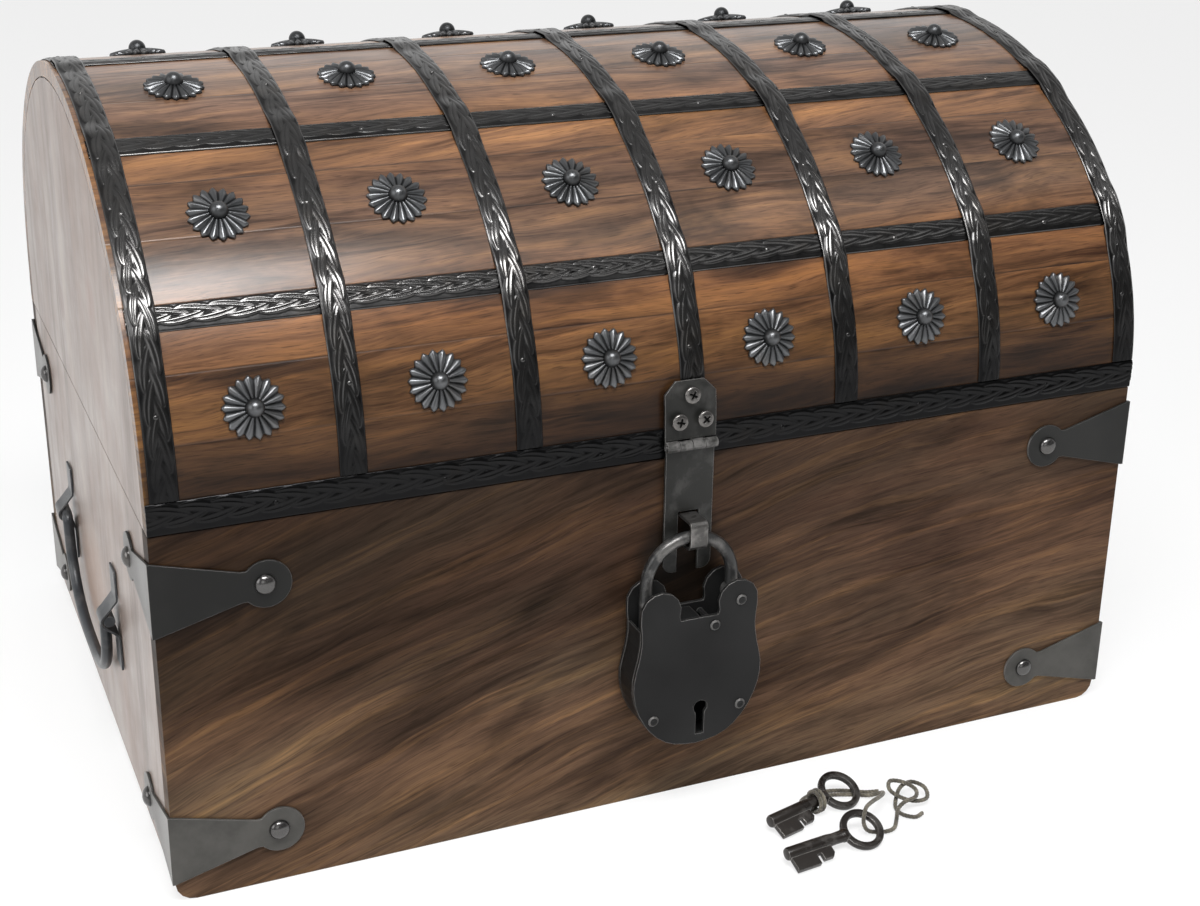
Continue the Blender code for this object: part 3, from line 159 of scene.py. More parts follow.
KEY_RING_RADIUS = 0.0079
KEY_WIRE_RADIUS = 0.0017
KEY_SHANK_RADIUS = 0.0028
KEY_TILT = math.radians(25)
KEY_PLACES = {
    "key_1": ((0.0200, -0.0445), (0.0586, -0.0345)),
    "key_2": ((0.0150, -0.0675), (0.0524, -0.0635)),
}
KEY_BIT = (
    (0.0200, 0), (0.0200, 0.0060), (0.0186, 0.0076), (0.0142, 0.0076), (0.0142, 0.0046),
    (0.0120, 0.0046), (0.0120, 0.0088), (0.0008, 0.0088), (0.0008, 0),
)
FRONT_FOOT = Vector((0, -HALF_DEPTH, 0))
TWINE_RADIUS = 0.0009
TWINE_LAY = 0.0042
TWINE_RINGS = 900
TWINE_SIDES = 18

PHOTO_WIDTH = 1200
PHOTO_HEIGHT = 906
FOCAL_PIXELS = 1839.53
AXIS_PIXEL = (579.88, 421.77)
UP = Vector((0, 0, 1))


# ---------------------------------------------------------------- node helpers
def feed(tree, socket, value):
    if isinstance(value, bpy.types.NodeSocket):
        tree.links.new(value, socket)
    else:
        socket.default_value = value


def add_node(tree, kind, inputs=None, out=0, **settings):
    """A new node with its settings, and its inputs from sockets or values. Gives one output."""
    node = tree.nodes.new(kind)
    for name, value in settings.items():
        setattr(node, name, value)
    for key, value in (inputs or {}).items():
        feed(tree, node.inputs[key], value)
    return node.outputs[out] if node.outputs else None


class Paint:
    """A material's node tree, with short ways to add the nodes that these surfaces use."""

    def __init__(self, name, slot):
        self.material = bpy.data.materials.new(name)
        self.material.use_nodes = True
        self.slot = slot
        self.tree = self.material.node_tree
        self.shader = self.tree.nodes["Principled BSDF"]

    def node(self, kind, inputs=None, out=0, **settings):
        return add_node(self.tree, kind, inputs, out, **settings)

    def set(self, **inputs):
        for key, value in inputs.items():
            feed(self.tree, self.shader.inputs[key.replace("_", " ")], value)

    def math(self, operation, a, b=0.0, clamp=False):
        return self.node("ShaderNodeMath", {0: a, 1: b}, operation=operation, use_clamp=clamp)

    def add(self, a, b, clamp=False):
        return self.math("ADD", a, b, clamp)

    def sub(self, a, b, clamp=False):
        return self.math("SUBTRACT", a, b, clamp)

    def mul(self, a, b):
        return self.math("MULTIPLY", a, b)

    def div(self, a, b, clamp=False):
        return self.math("DIVIDE", a, b, clamp)

    def most(self, a, b):
        return self.math("MAXIMUM", a, b)

    def swing(self, value, share):
        """A noise about 0 instead of about 0.5, times a share."""
        return self.mul(self.sub(value, 0.5), share)

    def calmed(self, value, share):
        """A value pulled towards 0.5."""
        return self.add(0.5 - 0.5 * share, self.mul(value, share))

    def blended(self, a, share, b):
        """A share of one value and the rest of another."""
        return self.add(self.mul(a, share), self.mul(b, round(1 - share, 2)))

    def weighted(self, a, share_a, b, share_b):
        """The sum of two values times their shares."""
        return self.add(self.mul(a, share_a), self.mul(b, share_b))

    def squares(self, a, b):
        return self.add(self.mul(a, a), self.mul(b, b))

    def far(self, a, b):
        """The length of an offset that has two parts."""
        return self.math("SQRT", self.squares(a, b))

    def vector(self, x=0.0, y=0.0, z=0.0):
        return self.node("ShaderNodeCombineXYZ", {0: x, 1: y, 2: z})

    def parts(self, vector):
        return self.node("ShaderNodeSeparateXYZ", {0: vector}).node.outputs

    def place(self):
        return self.node("ShaderNodeTexCoord", out="Object")

    def facing(self):
        return self.node("ShaderNodeNewGeometry", out="Normal")

    def noise(self, vector, scale, detail=4.0, rough=0.55, bend=0.0):
        """Noise of one scale, or of a scale along each axis."""
        if isinstance(scale, tuple):
            vector = self.node("ShaderNodeMapping", {"Vector": vector, "Scale": scale})
            scale = 1.0
        inputs = {"Vector": vector, "Scale": scale, "Detail": detail, "Roughness": rough}
        return self.node("ShaderNodeTexNoise", {**inputs, "Distortion": bend})

    def random(self, seed):
        return self.node("ShaderNodeTexWhiteNoise", {"W": seed}, noise_dimensions="1D")

    def ramp(self, value, stops, smooth=False):
        node = self.node("ShaderNodeValToRGB", {0: value}).node
        node.color_ramp.interpolation = "EASE" if smooth else "LINEAR"
        elements = node.color_ramp.elements
        while len(elements) < len(stops):
            elements.new(0.5)
        for element, (position, colour) in zip(elements, stops):
            element.position = position
            element.color = (*((colour,) * 3 if isinstance(colour, float) else colour), 1)
        return node.outputs[0]

    def rise(self, value, start, end, top=1.0, smooth=False):
        """0 up to start, and top from end on."""
        return self.ramp(value, ((start, 0.0), (end, top)), smooth)

    def mix(self, factor, a, b, how="MIX"):
        a, b = ((*colour, 1) if isinstance(colour, tuple) else colour for colour in (a, b))
        inputs = {0: factor, 6: a, 7: b}
        return self.node("ShaderNodeMix", inputs, 2, data_type="RGBA", blend_type=how)

    def tint(self, colour, factor):
        return self.mix(1.0, colour, factor, "MULTIPLY")

    def shaded(self, factor, colour, by):
        """A colour that is multiplied by another where the factor says so."""
        return self.mix(factor, colour, self.tint(colour, by))

    def attribute(self, name):
        return self.node("ShaderNodeAttribute", out="Fac", attribute_name=name)

    def edge(self, radius):
        """The normal of slightly rounded edges, and 1 on those edges."""
        soft = self.node("ShaderNodeBevel", {"Radius": radius}, samples=4)
        inputs = {0: soft, 1: self.facing()}
        turn = self.node("ShaderNodeVectorMath", inputs, "Value", operation="DOT_PRODUCT")
        return soft, self.ramp(turn, ((0.80, 1.0), (0.985, 0.0)))

    def bump(self, height, strength, distance, **more):
        inputs = {"Height": height, "Strength": strength, "Distance": distance}
        return self.node("ShaderNodeBump", {**inputs, **more})


def rgb(red, green, blue):
    """A screen colour, 0 to 255, as linear light."""
    return tuple(
        c / 12.92 if c <= 0.04045 else ((c + 0.055) / 1.055) ** 2.4
        for c in (red / 255, green / 255, blue / 255)
    )


# ---------------------------------------------------------------- wood
def fibres(p, along, figure_size, broad_size, sway, bend):
    """The figure, fine fibres and pores of a board. Along it, X runs with the fibres, in metres."""
    x, y, z = p.parts(along)
    wave = p.noise(along, (8.0, 26.0, 9.0), 3.0, 0.5)
    flow = p.vector(x, p.add(y, p.swing(wave, sway)), z)
    figure = p.noise(flow, (*figure_size, 30.0), 6.0, 0.66, bend)
    broad = p.noise(flow, (*broad_size, 12.0), 4.0, 0.55, bend)
    fibre = p.noise(flow, (60.0, 1400.0, 500.0), 3.0, 0.6)
    pores = p.noise(flow, (130.0, 2300.0, 900.0), 1.0, 0.4)
    return flow, figure, broad, fibre, pores


def grained(p, tone, value, fibre, pores, dark, light, pore):
    """A board's tone, darker and redder in its low grain and more golden in its high grain."""
    colour = p.mix(p.rise(value, 0.37, 0.50), p.tint(tone, dark), tone)
    colour = p.mix(p.rise(value, 0.50, 0.64), colour, p.tint(tone, light))
    colour = p.tint(colour, p.ramp(fibre, ((0.30, 0.70), (0.70, 1.24))))
    return p.mix(pore, colour, p.ramp(pores, ((0.30, 0.30), (0.40, 1.0))), "MULTIPLY")


# The staves' colours from the front foot of the lid, over the crest, to the back foot
STAVE_TONES = (
    (36, 22, 11), (44, 27, 14), (92, 64, 40), (104, 70, 46), (108, 80, 60), (84, 62, 50),
    (116, 82, 57), (104, 77, 61), (110, 86, 72), (98, 72, 56), (110, 80, 56), (84, 60, 44),
    (126, 90, 60), (94, 68, 50), (114, 82, 56), (78, 56, 42), (108, 76, 52), (90, 64, 46),
    (70, 48, 34),
)
STAVE_SPAN = 0.5  # the length along the lid's outline that the ramp of tones covers


def lid_paint():
    """Staves that run along X, each with its own colour and figure, under a glossy varnish."""
    p = Paint("lid_wood", "lid_wood")
    x, station = p.parts(p.node("ShaderNodeUVMap", uv_map="Wrap"))[:2]
    count = p.div(p.sub(station, FIRST_SEAM), STAVE)
    stave = p.math("FLOOR", count)
    stops = [
        ((FIRST_SEAM + STAVE * (i - 0.5)) / STAVE_SPAN + 0.0001 if i else 0.0, rgb(*tone))
        for i, tone in enumerate(STAVE_TONES)
    ]
    drift = p.noise(p.vector(x, station, 0.0), (7.0, 19.0, 1.0), 3.0, 0.55)
    tone = p.ramp(p.div(p.add(station, p.swing(drift, 0.030)), STAVE_SPAN), stops)
    shift = p.random(p.add(stave, 71.3))
    slope = p.random(p.add(stave, 12.9))
    along = p.vector(
        p.add(x, p.mul(shift, 3.7)),
        p.add(station, p.mul(x, p.sub(p.mul(slope, 0.16), 0.14))),
        p.mul(stave, 0.37),
    )
    flow, figure, broad, fibre, pores = fibres(p, along, (15.0, 260.0), (9.0, 66.0), 0.020, 0.8)
    value = p.blended(figure, 0.56, broad)
    fibre = p.calmed(fibre, 0.6)
    dark, light = (0.25, 0.205, 0.175), (1.72, 1.69, 1.40)
    colour = grained(p, tone, value, fibre, pores, dark, light, 0.6)
    # A slow golden or greyish cast along a board
    cast = p.noise(along, (9.0, 30.0, 5.0), 3.0, 0.5)
    colour = p.shaded(p.rise(cast, 0.50, 0.68, 0.55), colour, (1.36, 1.28, 1.0))
    shade = p.noise(along, (11.0, 34.0, 3.0), 4.0, 0.6, 0.6)
    colour = p.tint(colour, p.ramp(shade, ((0.34, 0.40), (0.50, 1.0), (0.66, 1.25))))
    line = p.rise(p.math("PINGPONG", count, 0.5), 0.004, 0.022)
    seam = p.mul(p.sub(1.0, line), p.ramp(cast, ((0.35, 0.75), (0.6, 0.15))))
    colour = p.mix(seam, colour, (0.014, 0.009, 0.007))
    # The raw edge of the veneer shows as a thin yellow-brown line at both ends of the lid
    end = p.rise(p.math("ABSOLUTE", x), 0.2148, 0.2153)
    raw = p.mix(p.rise(figure, 0.4, 0.6), rgb(84, 52, 25), rgb(146, 104, 50))
    height = p.add(p.weighted(figure, 0.30, fibre, 0.35), p.mul(line, 1.3))
    p.set(
        Base_Color=p.mix(end, colour, raw),
        Roughness=p.ramp(p.noise(flow, 46.0, 3.0, 0.6), ((0.3, 0.34), (0.7, 0.50))),
        Normal=p.bump(height, 0.30, 0.0005),
        Coat_Weight=p.ramp(p.parts(p.place())[2], ((0.172, 0.14), (0.215, 0.84))),
        Coat_Roughness=0.25,
        Specular_IOR_Level=0.12,
        Coat_Normal=p.bump(height, 0.12, 0.0005),
    )
    return p


def front_paint():
    """Dark walnut, the fibres rising to the right, steeper at the left end of the box."""
    p = Paint("box_wood", "box_wood")
    x, y, z = p.parts(p.place())
    rise = p.mul(x, p.sub(0.25, p.mul(x, 0.36)))
    along = p.vector(x, p.sub(z, rise), p.mul(y, 0.6))
    flow, figure, broad, fibre, pores = fibres(p, along, (13.0, 310.0), (7.0, 50.0), 0.018, 0.7)
    value = p.blended(figure, 0.52, broad)
    fibre = p.calmed(fibre, 0.6)
    up = p.div(z, BOX_HEIGHT)
    levels = (0.05, (87, 71, 57)), (0.42, (77, 62, 50)), (0.62, (65, 51, 41)), (0.95, (58, 45, 36))
    tone = p.ramp(up, [(level, rgb(*colour)) for level, colour in levels], smooth=True)
    right = p.rise(p.add(p.mul(x, 2.0), 0.5), 0.45, 0.80)
    tone = p.shaded(right, tone, (1.18, 1.16, 1.14))
    left = p.rise(p.add(p.mul(x, -2.0), 0.5), 0.40, 0.85)
    left = p.mul(left, p.rise(up, 0.30, 0.62, smooth=True))
    tone = p.shaded(left, tone, (0.56, 0.54, 0.50))
    dark, light = (0.40, 0.38, 0.37), (1.60, 1.58, 1.42)
    colour = grained(p, tone, value, fibre, pores, dark, light, 0.45)
    # Thin golden streaks
    streak = p.noise(flow, (9.0, 210.0, 40.0), 5.0, 0.6)
    colour = p.shaded(p.mul(p.rise(streak, 0.54, 0.64), 0.65), colour, (1.85, 1.78, 1.44))
    shade = p.noise(along, (10.0, 30.0, 3.0), 4.0, 0.6, 0.6)
    colour = p.tint(colour, p.ramp(shade, ((0.36, 0.62), (0.50, 1.0), (0.64, 1.15))))
    # Slow changes from a reddish to a golden brown
    cast = p.noise(along, (6.0, 22.0, 3.0), 3.0, 0.5)
    colour = p.tint(colour, p.ramp(cast, ((0.42, (1.12, 0.98, 0.90)), (0.62, (1.0, 1.0, 0.96)))))
    # Painted shade: the wood is painted dark behind the padlock's bow, where its shadow falls
    off_x = p.div(p.add(x, 0.0035), 0.023)
    off_z = p.div(p.sub(z, 0.108), 0.030)
    near = p.mul(p.squares(off_x, off_z), p.ramp(shade, ((0.3, 0.8), (0.7, 1.1))))
    lock_shadow = p.ramp(near, ((0.25, 0.80), (1.0, 0.0)), smooth=True)
    lock_shadow = p.mul(lock_shadow, p.math("LESS_THAN", y, 0.0))
    p.set(
        Base_Color=p.mix(lock_shadow, colour, (0.006, 0.005, 0.004)),
        Roughness=p.ramp(p.noise(flow, 40.0, 3.0, 0.6), ((0.3, 0.42), (0.7, 0.58))),
        Normal=p.bump(p.weighted(figure, 0.4, fibre, 0.5), 0.35, 0.0005),
        Coat_Weight=0.03,
        Coat_Roughness=0.3,
        Specular_IOR_Level=0.06,
    )
    return p


# Two small knots and a stain round the handle: y, z, size and colour
SIDE_STAINS = (
    (-0.060, 0.215, 0.016, (134, 104, 90)),
    (0.030, 0.190, 0.010, (122, 100, 92)),
    (0.000, 0.062, 0.045, (158, 128, 108)),
)


def side_paint():
    """Pale greyish boards with upright fibres and a few faint brown stains."""
    p = Paint("side_wood", "side_wood")
    x, y, z = p.parts(p.place())
    along = p.vector(z, p.add(y, p.mul(z, 0.06)), p.mul(x, 0.6))
    flow, figure, broad, fibre, pores = fibres(p, along, (7.0, 150.0), (4.0, 40.0), 0.030, 0.4)
    value = p.blended(figure, 0.45, broad)
    cloud = p.noise(p.place(), 9.0, 3.0, 0.5)
    tone = p.mix(p.rise(cloud, 0.40, 0.66), rgb(148, 136, 129), rgb(126, 105, 93))
    dark, light = (0.62, 0.57, 0.54), (1.20, 1.19, 1.18)
    colour = grained(p, tone, value, p.calmed(fibre, 0.30), pores, dark, light, 0.20)
    for stain_y, stain_z, size, stain in SIDE_STAINS:
        far = p.far(p.sub(y, stain_y), p.sub(z, stain_z))
        far = p.add(p.div(far, size), p.swing(value, 1.6))
        near = p.ramp(far, ((0.45, 0.55), (1.0, 0.0)), smooth=True)
        colour = p.mix(near, colour, rgb(*stain))
    p.set(
        Base_Color=colour,
        Roughness=p.ramp(p.noise(flow, 40.0, 3.0, 0.6), ((0.3, 0.36), (0.7, 0.50))),
        Normal=p.bump(p.weighted(figure, 0.4, fibre, 0.5), 0.25, 0.0004),
        Coat_Weight=0.35,
        Coat_Roughness=0.25,
        Specular_IOR_Level=0.35,
    )
    return p


# ---------------------------------------------------------------- iron
def worked(name, slot, low, high, rough, metal=0.9, dents=0.00025, painted_foot_shade=False):
    """Embossed or cast iron: black in its hollows and rubbed to a grey shine on its ridges. Where
    asked, the ridges near the lid's foot are painted dark, as shade."""
    p = Paint(name, slot)
    where = p.place()
    mottle = p.noise(where, 130.0, 5.0, 0.62, 0.3)
    fine = p.noise(where, 1500.0, 3.0, 0.6)
    smear = p.noise(where, 21.0, 3.0, 0.5)
    rubbed = p.add(p.attribute("relief"), p.swing(mottle, 0.55))
    rubbed = p.add(rubbed, p.swing(smear, 0.35))
    shine = p.ramp(rubbed, ((0.22, 0.0), (0.55, 0.45), (0.88, 1.0)))
    # Painted shade: the ridges are darkened towards the lid's foot
    if painted_foot_shade:
        shine = p.mul(shine, p.ramp(p.parts(where)[2], ((0.176, 0.06), (0.218, 1.0))))
    warm = p.rise(p.noise(where, 57.0, 3.0, 0.6), 0.55, 0.75, 0.35)
    p.set(
        Base_Color=p.shaded(warm, p.mix(shine, low, high), (1.15, 1.0, 0.84)),
        Metallic=metal,
        Roughness=p.ramp(rubbed, ((0.2, rough + 0.16), (0.8, rough))),
        Normal=p.bump(p.weighted(mottle, 0.6, fine, 0.25), 0.45, dents),
        Specular_IOR_Level=0.3,
    )
    return p


def lacquer(name, slot, colour, worn, rough, wear=0.6, level=0.25, metal=0.0, skin=0.0, bare_or_sheen=None,
            floor_reflection=None):
    """Black satin lacquer on iron. skin is how far it is rubbed through in patches. Of the last two
    arguments, the first is high where the iron is left bright or painted pale as a sheen, and the
    second where a pale grey reflection of the floor is painted on."""
    p = Paint(name, slot)
    where = p.place()
    mottle = p.noise(where, 85.0, 5.0, 0.62, 0.3)
    fine = p.noise(where, 1900.0, 3.0, 0.6)
    smear = p.noise(where, 19.0, 3.0, 0.5)
    soft, edge = p.edge(0.0005)
    rubbed = p.mul(p.mul(edge, p.ramp(mottle, ((0.30, 0.45), (0.60, 1.0)))), wear)
    rubbed = p.most(rubbed, p.mul(p.rise(mottle, 0.50, 0.66), skin))
    # Rubbed bright places, and a painted pale sheen where that is asked for
    if bare_or_sheen:
        rubbed = p.most(rubbed, bare_or_sheen(p))
    dusty = tuple(1.9 * c + 0.003 for c in colour)
    base = p.mix(p.rise(smear, 0.38, 0.68), colour, dusty)
    # Painted reflection: the iron is painted a pale grey where the floor shows in it
    if floor_reflection:
        base = p.mix(floor_reflection(p), base, (0.075, 0.072, 0.066))
    p.set(
        Base_Color=p.mix(rubbed, base, worn),
        Metallic=p.add(p.mul(rubbed, 0.85), metal, clamp=True),
        Roughness=p.ramp(smear, ((0.35, rough - 0.06), (0.7, rough + 0.10))),
        Normal=p.bump(p.weighted(mottle, 0.5, fine, 0.5), 0.35, 0.0003, Normal=soft),
        Specular_IOR_Level=level,
    )
    return p


def near_line(p, a, b, centre, reach):
    """1 within reach of a line, given the two coordinates that run across it."""
    far = p.far(p.sub(a, centre[0]), p.sub(b, centre[1]))
    return p.div(p.sub(reach, far), 0.0002, clamp=True)


def bright_knuckles(p):
    """The rolled knuckles of the hasp and of the back hinges are rubbed bright."""
    y, z = p.parts(p.place())[1:]
    front, back = (near_line(p, y, z, axis, 0.0024) for axis in (HASP_AXIS, HINGE_AXIS))
    worn = p.rise(p.noise(p.place(), 300.0, 3.0, 0.6), 0.35, 0.62, 0.38)
    return p.mul(p.most(front, back), worn)


def painted_end_sheen(p):
    """The leaves on the box's ends are painted pale and made partly metallic, as the sheen they
    catch at a slant.
    """
    return p.rise(p.math("ABSOLUTE", p.parts(p.facing())[0]), 0.80, 0.95, 0.48)


def rivet_rims(p):
    """A bright ring round each rivet head of the padlock."""
    x, y, z = p.parts(p.place())
    rings = 0.0
    for centre in PADLOCK_RIVETS:
        outer, inner = (near_line(p, x, z, centre, reach) for reach in (0.0025, 0.0017))
        rings = p.most(rings, p.sub(outer, inner, clamp=True))
    return p.mul(p.mul(rings, p.math("LESS_THAN", y, PADLOCK_FACE_Y)), 0.30)


def painted_floor_reflection(p):
    """The irons near the floor are painted a paler grey, as the floor's reflection in them."""
    low = p.ramp(p.parts(p.place())[2], ((0.035, 0.95), (0.055, 0.0)))
    cloud = p.noise(p.place(), 60.0, 4.0, 0.6)
    return p.mul(low, p.ramp(cloud, ((0.3, 0.55), (0.6, 1.0))))


def twine_paint():
    """Dull grey-green jute."""
    p = Paint("twine_fibre", "twine_fibre")
    where = p.place()
    strand = p.noise(where, 3000.0, 3.0, 0.6, 0.4)
    cloud = p.noise(where, 240.0, 3.0, 0.6)
    stops = (0.3, rgb(60, 56, 48)), (0.5, rgb(94, 89, 78)), (0.7, rgb(132, 125, 110))
    colour = p.tint(p.ramp(cloud, stops), p.ramp(strand, ((0.3, 0.62), (0.65, 1.15))))
    # Painted shade: the grooves between the plies are darkened
    colour = p.tint(colour, p.ramp(p.attribute("relief"), ((0.0, 0.35), (0.8, 1.1))))
    bump = p.bump(strand, 0.7, 0.0003)
    p.set(Base_Color=colour, Roughness=0.88, Normal=bump, Sheen_Weight=0.3)
    return p


lid_wood = lid_paint()
box_wood = front_paint()
side_wood = side_paint()

STEEL = (0.34, 0.33, 0.32)
# The bands' ridges get painted shade near the lid's foot
band_iron = worked("band_iron", "band_iron", (0.013, 0.013, 0.0135), (0.135, 0.132, 0.130), 0.23,
                   1.0, dents=0.00012, painted_foot_shade=True)
rosette_iron = worked("rosette_iron", "band_iron", (0.022, 0.023, 0.024), (0.135, 0.138, 0.143),
                      0.30)
nail_iron = worked("nail_iron", "corner_iron", (0.02, 0.02, 0.02), (0.115, 0.112, 0.11), 0.20)
# Corner irons: a painted pale sheen on the end leaves, and a painted floor reflection low down
corner_iron = lacquer("corner_iron", "corner_iron", (0.008, 0.008, 0.0075), STEEL, 0.36, 0.45,
                      0.2, bare_or_sheen=painted_end_sheen, floor_reflection=painted_floor_reflection)
handle_iron = lacquer("handle_iron", "handle_iron", (0.020, 0.023, 0.027), STEEL, 0.34, 0.6, 0.5,
                      0.12, skin=0.15)
hasp_iron = lacquer("hasp_iron", "hasp_iron", (0.012, 0.012, 0.011), STEEL, 0.38, 0.8, 0.22,
                    skin=0.08, bare_or_sheen=bright_knuckles)
screw_iron = worked("screw_iron", "hasp_iron", (0.008, 0.008, 0.008), (0.17, 0.162, 0.155), 0.24)
staple_iron = lacquer("staple_iron", "staple_iron", (0.045, 0.043, 0.041), (0.48, 0.46, 0.44),
                      0.28, 0.9, 0.5, 0.6, skin=0.45)
padlock_iron = lacquer("padlock_iron", "padlock_iron", (0.0068, 0.0068, 0.0068), STEEL, 0.40, 0.8,
                       0.15, bare_or_sheen=rivet_rims)
shackle_iron = lacquer("shackle_iron", "padlock_iron", (0.016, 0.016, 0.016), (0.24, 0.23, 0.22),
                       0.28, 0.5, 0.45, 0.1, skin=0.65)
key_iron = lacquer("key_iron", "key_iron", (0.010, 0.008, 0.0068), (0.42, 0.40, 0.38), 0.24, 0.8,
                   0.38, 0.1, skin=0.18)
twine_fibre = twine_paint()


# ---------------------------------------------------------------- mesh helpers
def lid_frame(station):
    """The lid's outline at an arc length from its front foot: a point and its outward normal."""
    behind = station > CREST
    along = LID_ARC - station if behind else station
    if along <= LID_FOOT:
        y, z, turn = HALF_DEPTH, BOX_HEIGHT + along, 0.0
    elif along <= LID_FOOT + SIDE_ARC:
        turn = (along - LID_FOOT) / LID_SIDE_RADIUS
        y = SIDE_CENTRE_Y + LID_SIDE_RADIUS * math.cos(turn)
        z = SHOULDER_Z + LID_SIDE_RADIUS * math.sin(turn)
    else:
        turn = LID_SIDE_ANGLE + (along - LID_FOOT - SIDE_ARC) / CROWN_RADIUS
        y = CROWN_RADIUS * math.cos(turn)
        z = CROWN_CENTRE_Z + CROWN_RADIUS * math.sin(turn)
    side = 1 if behind else -1
    return Vector((0, side * y, z)), Vector((0, side * math.cos(turn), math.sin(turn)))


def upright(normal):
    """The turn from +Z to a normal."""
    return UP.rotation_difference(normal).to_matrix()


def rail_centres():
    front = [CREST / 3 + RAIL_SHIFT, CREST * 2 / 3 - RAIL_SHIFT]
    return [*front, CREST, *(LID_ARC - station for station in reversed(front))]


def arch_lift(ramp):
    """Where an arch band climbs over the rails: stations, and the heights of its underside."""
    stations = [FOOT_RAIL_WIDTH + FIT_GAP]
    heights = [LOW[0]]
    clear = RAIL_WIDTH / 2 + FIT_GAP
    for centre in rail_centres():
        stations += [centre - clear - ramp, centre - clear]
        stations += [centre + clear, centre + clear + ramp]
        heights += [LOW[0], HIGH[0], HIGH[0], LOW[0]]
    return [*stations, LID_ARC - stations[0]], [*heights, LOW[0]]


def rows():
    """The stations of the six rows of rosettes."""
    edges = [FOOT_RAIL_WIDTH - RAIL_WIDTH / 2, *rail_centres()[:3]]
    front = [(low + high) / 2 + ROSETTE_SHIFT for low, high in zip(edges, edges[1:])]
    return [*front, *(LID_ARC - station for station in reversed(front))]


def columns():
    return [ARCH_FIRST_X + ARCH_PITCH * (i + 0.5) for i in range(ARCH_COUNT - 1)]


def unit(values):
    return np.clip(values, 0, 1)


def angles(count):
    return 2 * np.pi * np.arange(count) / count


def linked(obj):
    bpy.context.scene.collection.objects.link(obj)
    return obj


def piece(name, mesh, paint, body, nodes, smooth=40):
    """An object of the model from a mesh or bmesh in the row frame, riding on its body."""
    if isinstance(mesh, bmesh.types.BMesh):
        made = bpy.data.meshes.new(name)
        mesh.to_mesh(made)
        mesh.free()
        mesh = made
    mesh.name = name
    mesh.materials.clear()
    mesh.materials.append(paint.material)
    mesh.shade_smooth()
    if smooth < 180:
        mesh.set_sharp_from_angle(angle=math.radians(smooth))
    obj = linked(bpy.data.objects.new(name, mesh))
    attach(obj, body)
    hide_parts(*nodes)
    return obj


def mesh_of(points, quads, uvs, relief=None):
    """A mesh from numpy points and quads, with a UV map in metres, and a relief value per point."""
    mesh = bpy.data.meshes.new("surface")
    flat = np.asarray(quads, np.int32).ravel()
    mesh.vertices.add(len(points))
    mesh.vertices.foreach_set("co", np.asarray(points, np.float32).ravel())
    mesh.loops.add(len(flat))
    mesh.loops.foreach_set("vertex_index", flat)
    mesh.polygons.add(len(quads))
    mesh.polygons.foreach_set("loop_start", np.arange(0, len(flat), 4, dtype=np.int32))
    mesh.update(calc_edges=True)
    layer = mesh.uv_layers.new(name="Wrap")
    layer.data.foreach_set("uv", np.asarray(uvs, np.float32)[flat].ravel())
    if relief is not None:
        mark = mesh.attributes.new("relief", "FLOAT", "POINT")
        mark.data.foreach_set("value", np.asarray(relief, np.float32))
    mesh.validate()
    return mesh


def joined(meshes):
    """Several (points, quads, uvs) as one."""
    points, quads, uvs = zip(*meshes)
    starts = np.cumsum([0, *(len(p) for p in points)])
    quads = [np.asarray(q) + start for q, start in zip(quads, starts)]
    return np.concatenate(points), np.concatenate(quads), np.concatenate(uvs)


def lid_points(stations, xs, heights):
    """Points on the lid for arrays of station, x and height over the wood."""
    unique, index = np.unique(stations.ravel(), return_inverse=True)
    frames = [lid_frame(float(s)) for s in unique]
    base, normal = (np.array([tuple(f[i]) for f in frames])[index] for i in (0, 1))
    points = base + normal * heights.ravel()[:, None]
    points[:, 0] = xs.ravel()
    return points


def slab(stations, xs, top, bottom):
    """A curved slab on the lid from (n, m) grids: its top, its sides and a plain underside."""
    n, m = stations.shape
    over = lid_points(stations, xs, top)
    under = lid_points(stations, xs, bottom)
    index = np.arange(n * m).reshape(n, m)

    def sheet(grid):
        corners = [grid[:-1, :-1], grid[:-1, 1:], grid[1:, 1:], grid[1:, :-1]]
        return np.stack(corners, -1).reshape(-1, 4)

    walls = [
        np.stack([edge[:-1], edge[1:], edge[1:] + n * m, edge[:-1] + n * m], -1)
        for edge in (index[0, ::-1], index[:, 0], index[-1, :], index[::-1, -1])
    ]
    quads = np.concatenate([sheet(index), *walls, sheet(index + n * m)[:, ::-1]])
    uv = np.stack([xs.ravel(), stations.ravel()], -1)
    return np.concatenate([over, under]), quads, np.concatenate([uv, uv])


def ring_quads(rings, sides, closed=False):
    """Quads between rings of points, each ring joined to the next."""
    i = np.arange(sides)
    j = (i + 1) % sides
    quads = []
    for k in range(rings if closed else rings - 1):
        low, high = k * sides, (k + 1) % rings * sides
        quads.append(np.stack([low + i, low + j, high + j, high + i], -1))
    return np.concatenate(quads)


def lathe(profile, place, normal, sides=24):
    """A turned shape as (points, quads, uvs), from (radius, height) pairs about an axis."""
    points = np.array(
        [[r * math.cos(a), r * math.sin(a), h] for r, h in profile for a in angles(sides)]
    ) @ np.array(upright(normal)).T + np.array(place)
    return points, ring_quads(len(profile), sides), np.zeros((len(points), 2))


def dome(place, normal, radius, height, sides=12, rings=4):
    """A round nail head."""
    profile = [(radius, 0.0), (radius, 0.12 * height)]
    profile += [
        (radius * math.cos(a), height * (0.12 + 0.88 * math.sin(a)))
        for a in (math.pi / 2 * (i + 1) / (rings + 1) for i in range(rings))
    ]
    profile.append((radius * 0.02, height))
    return lathe(profile, place, normal, sides)


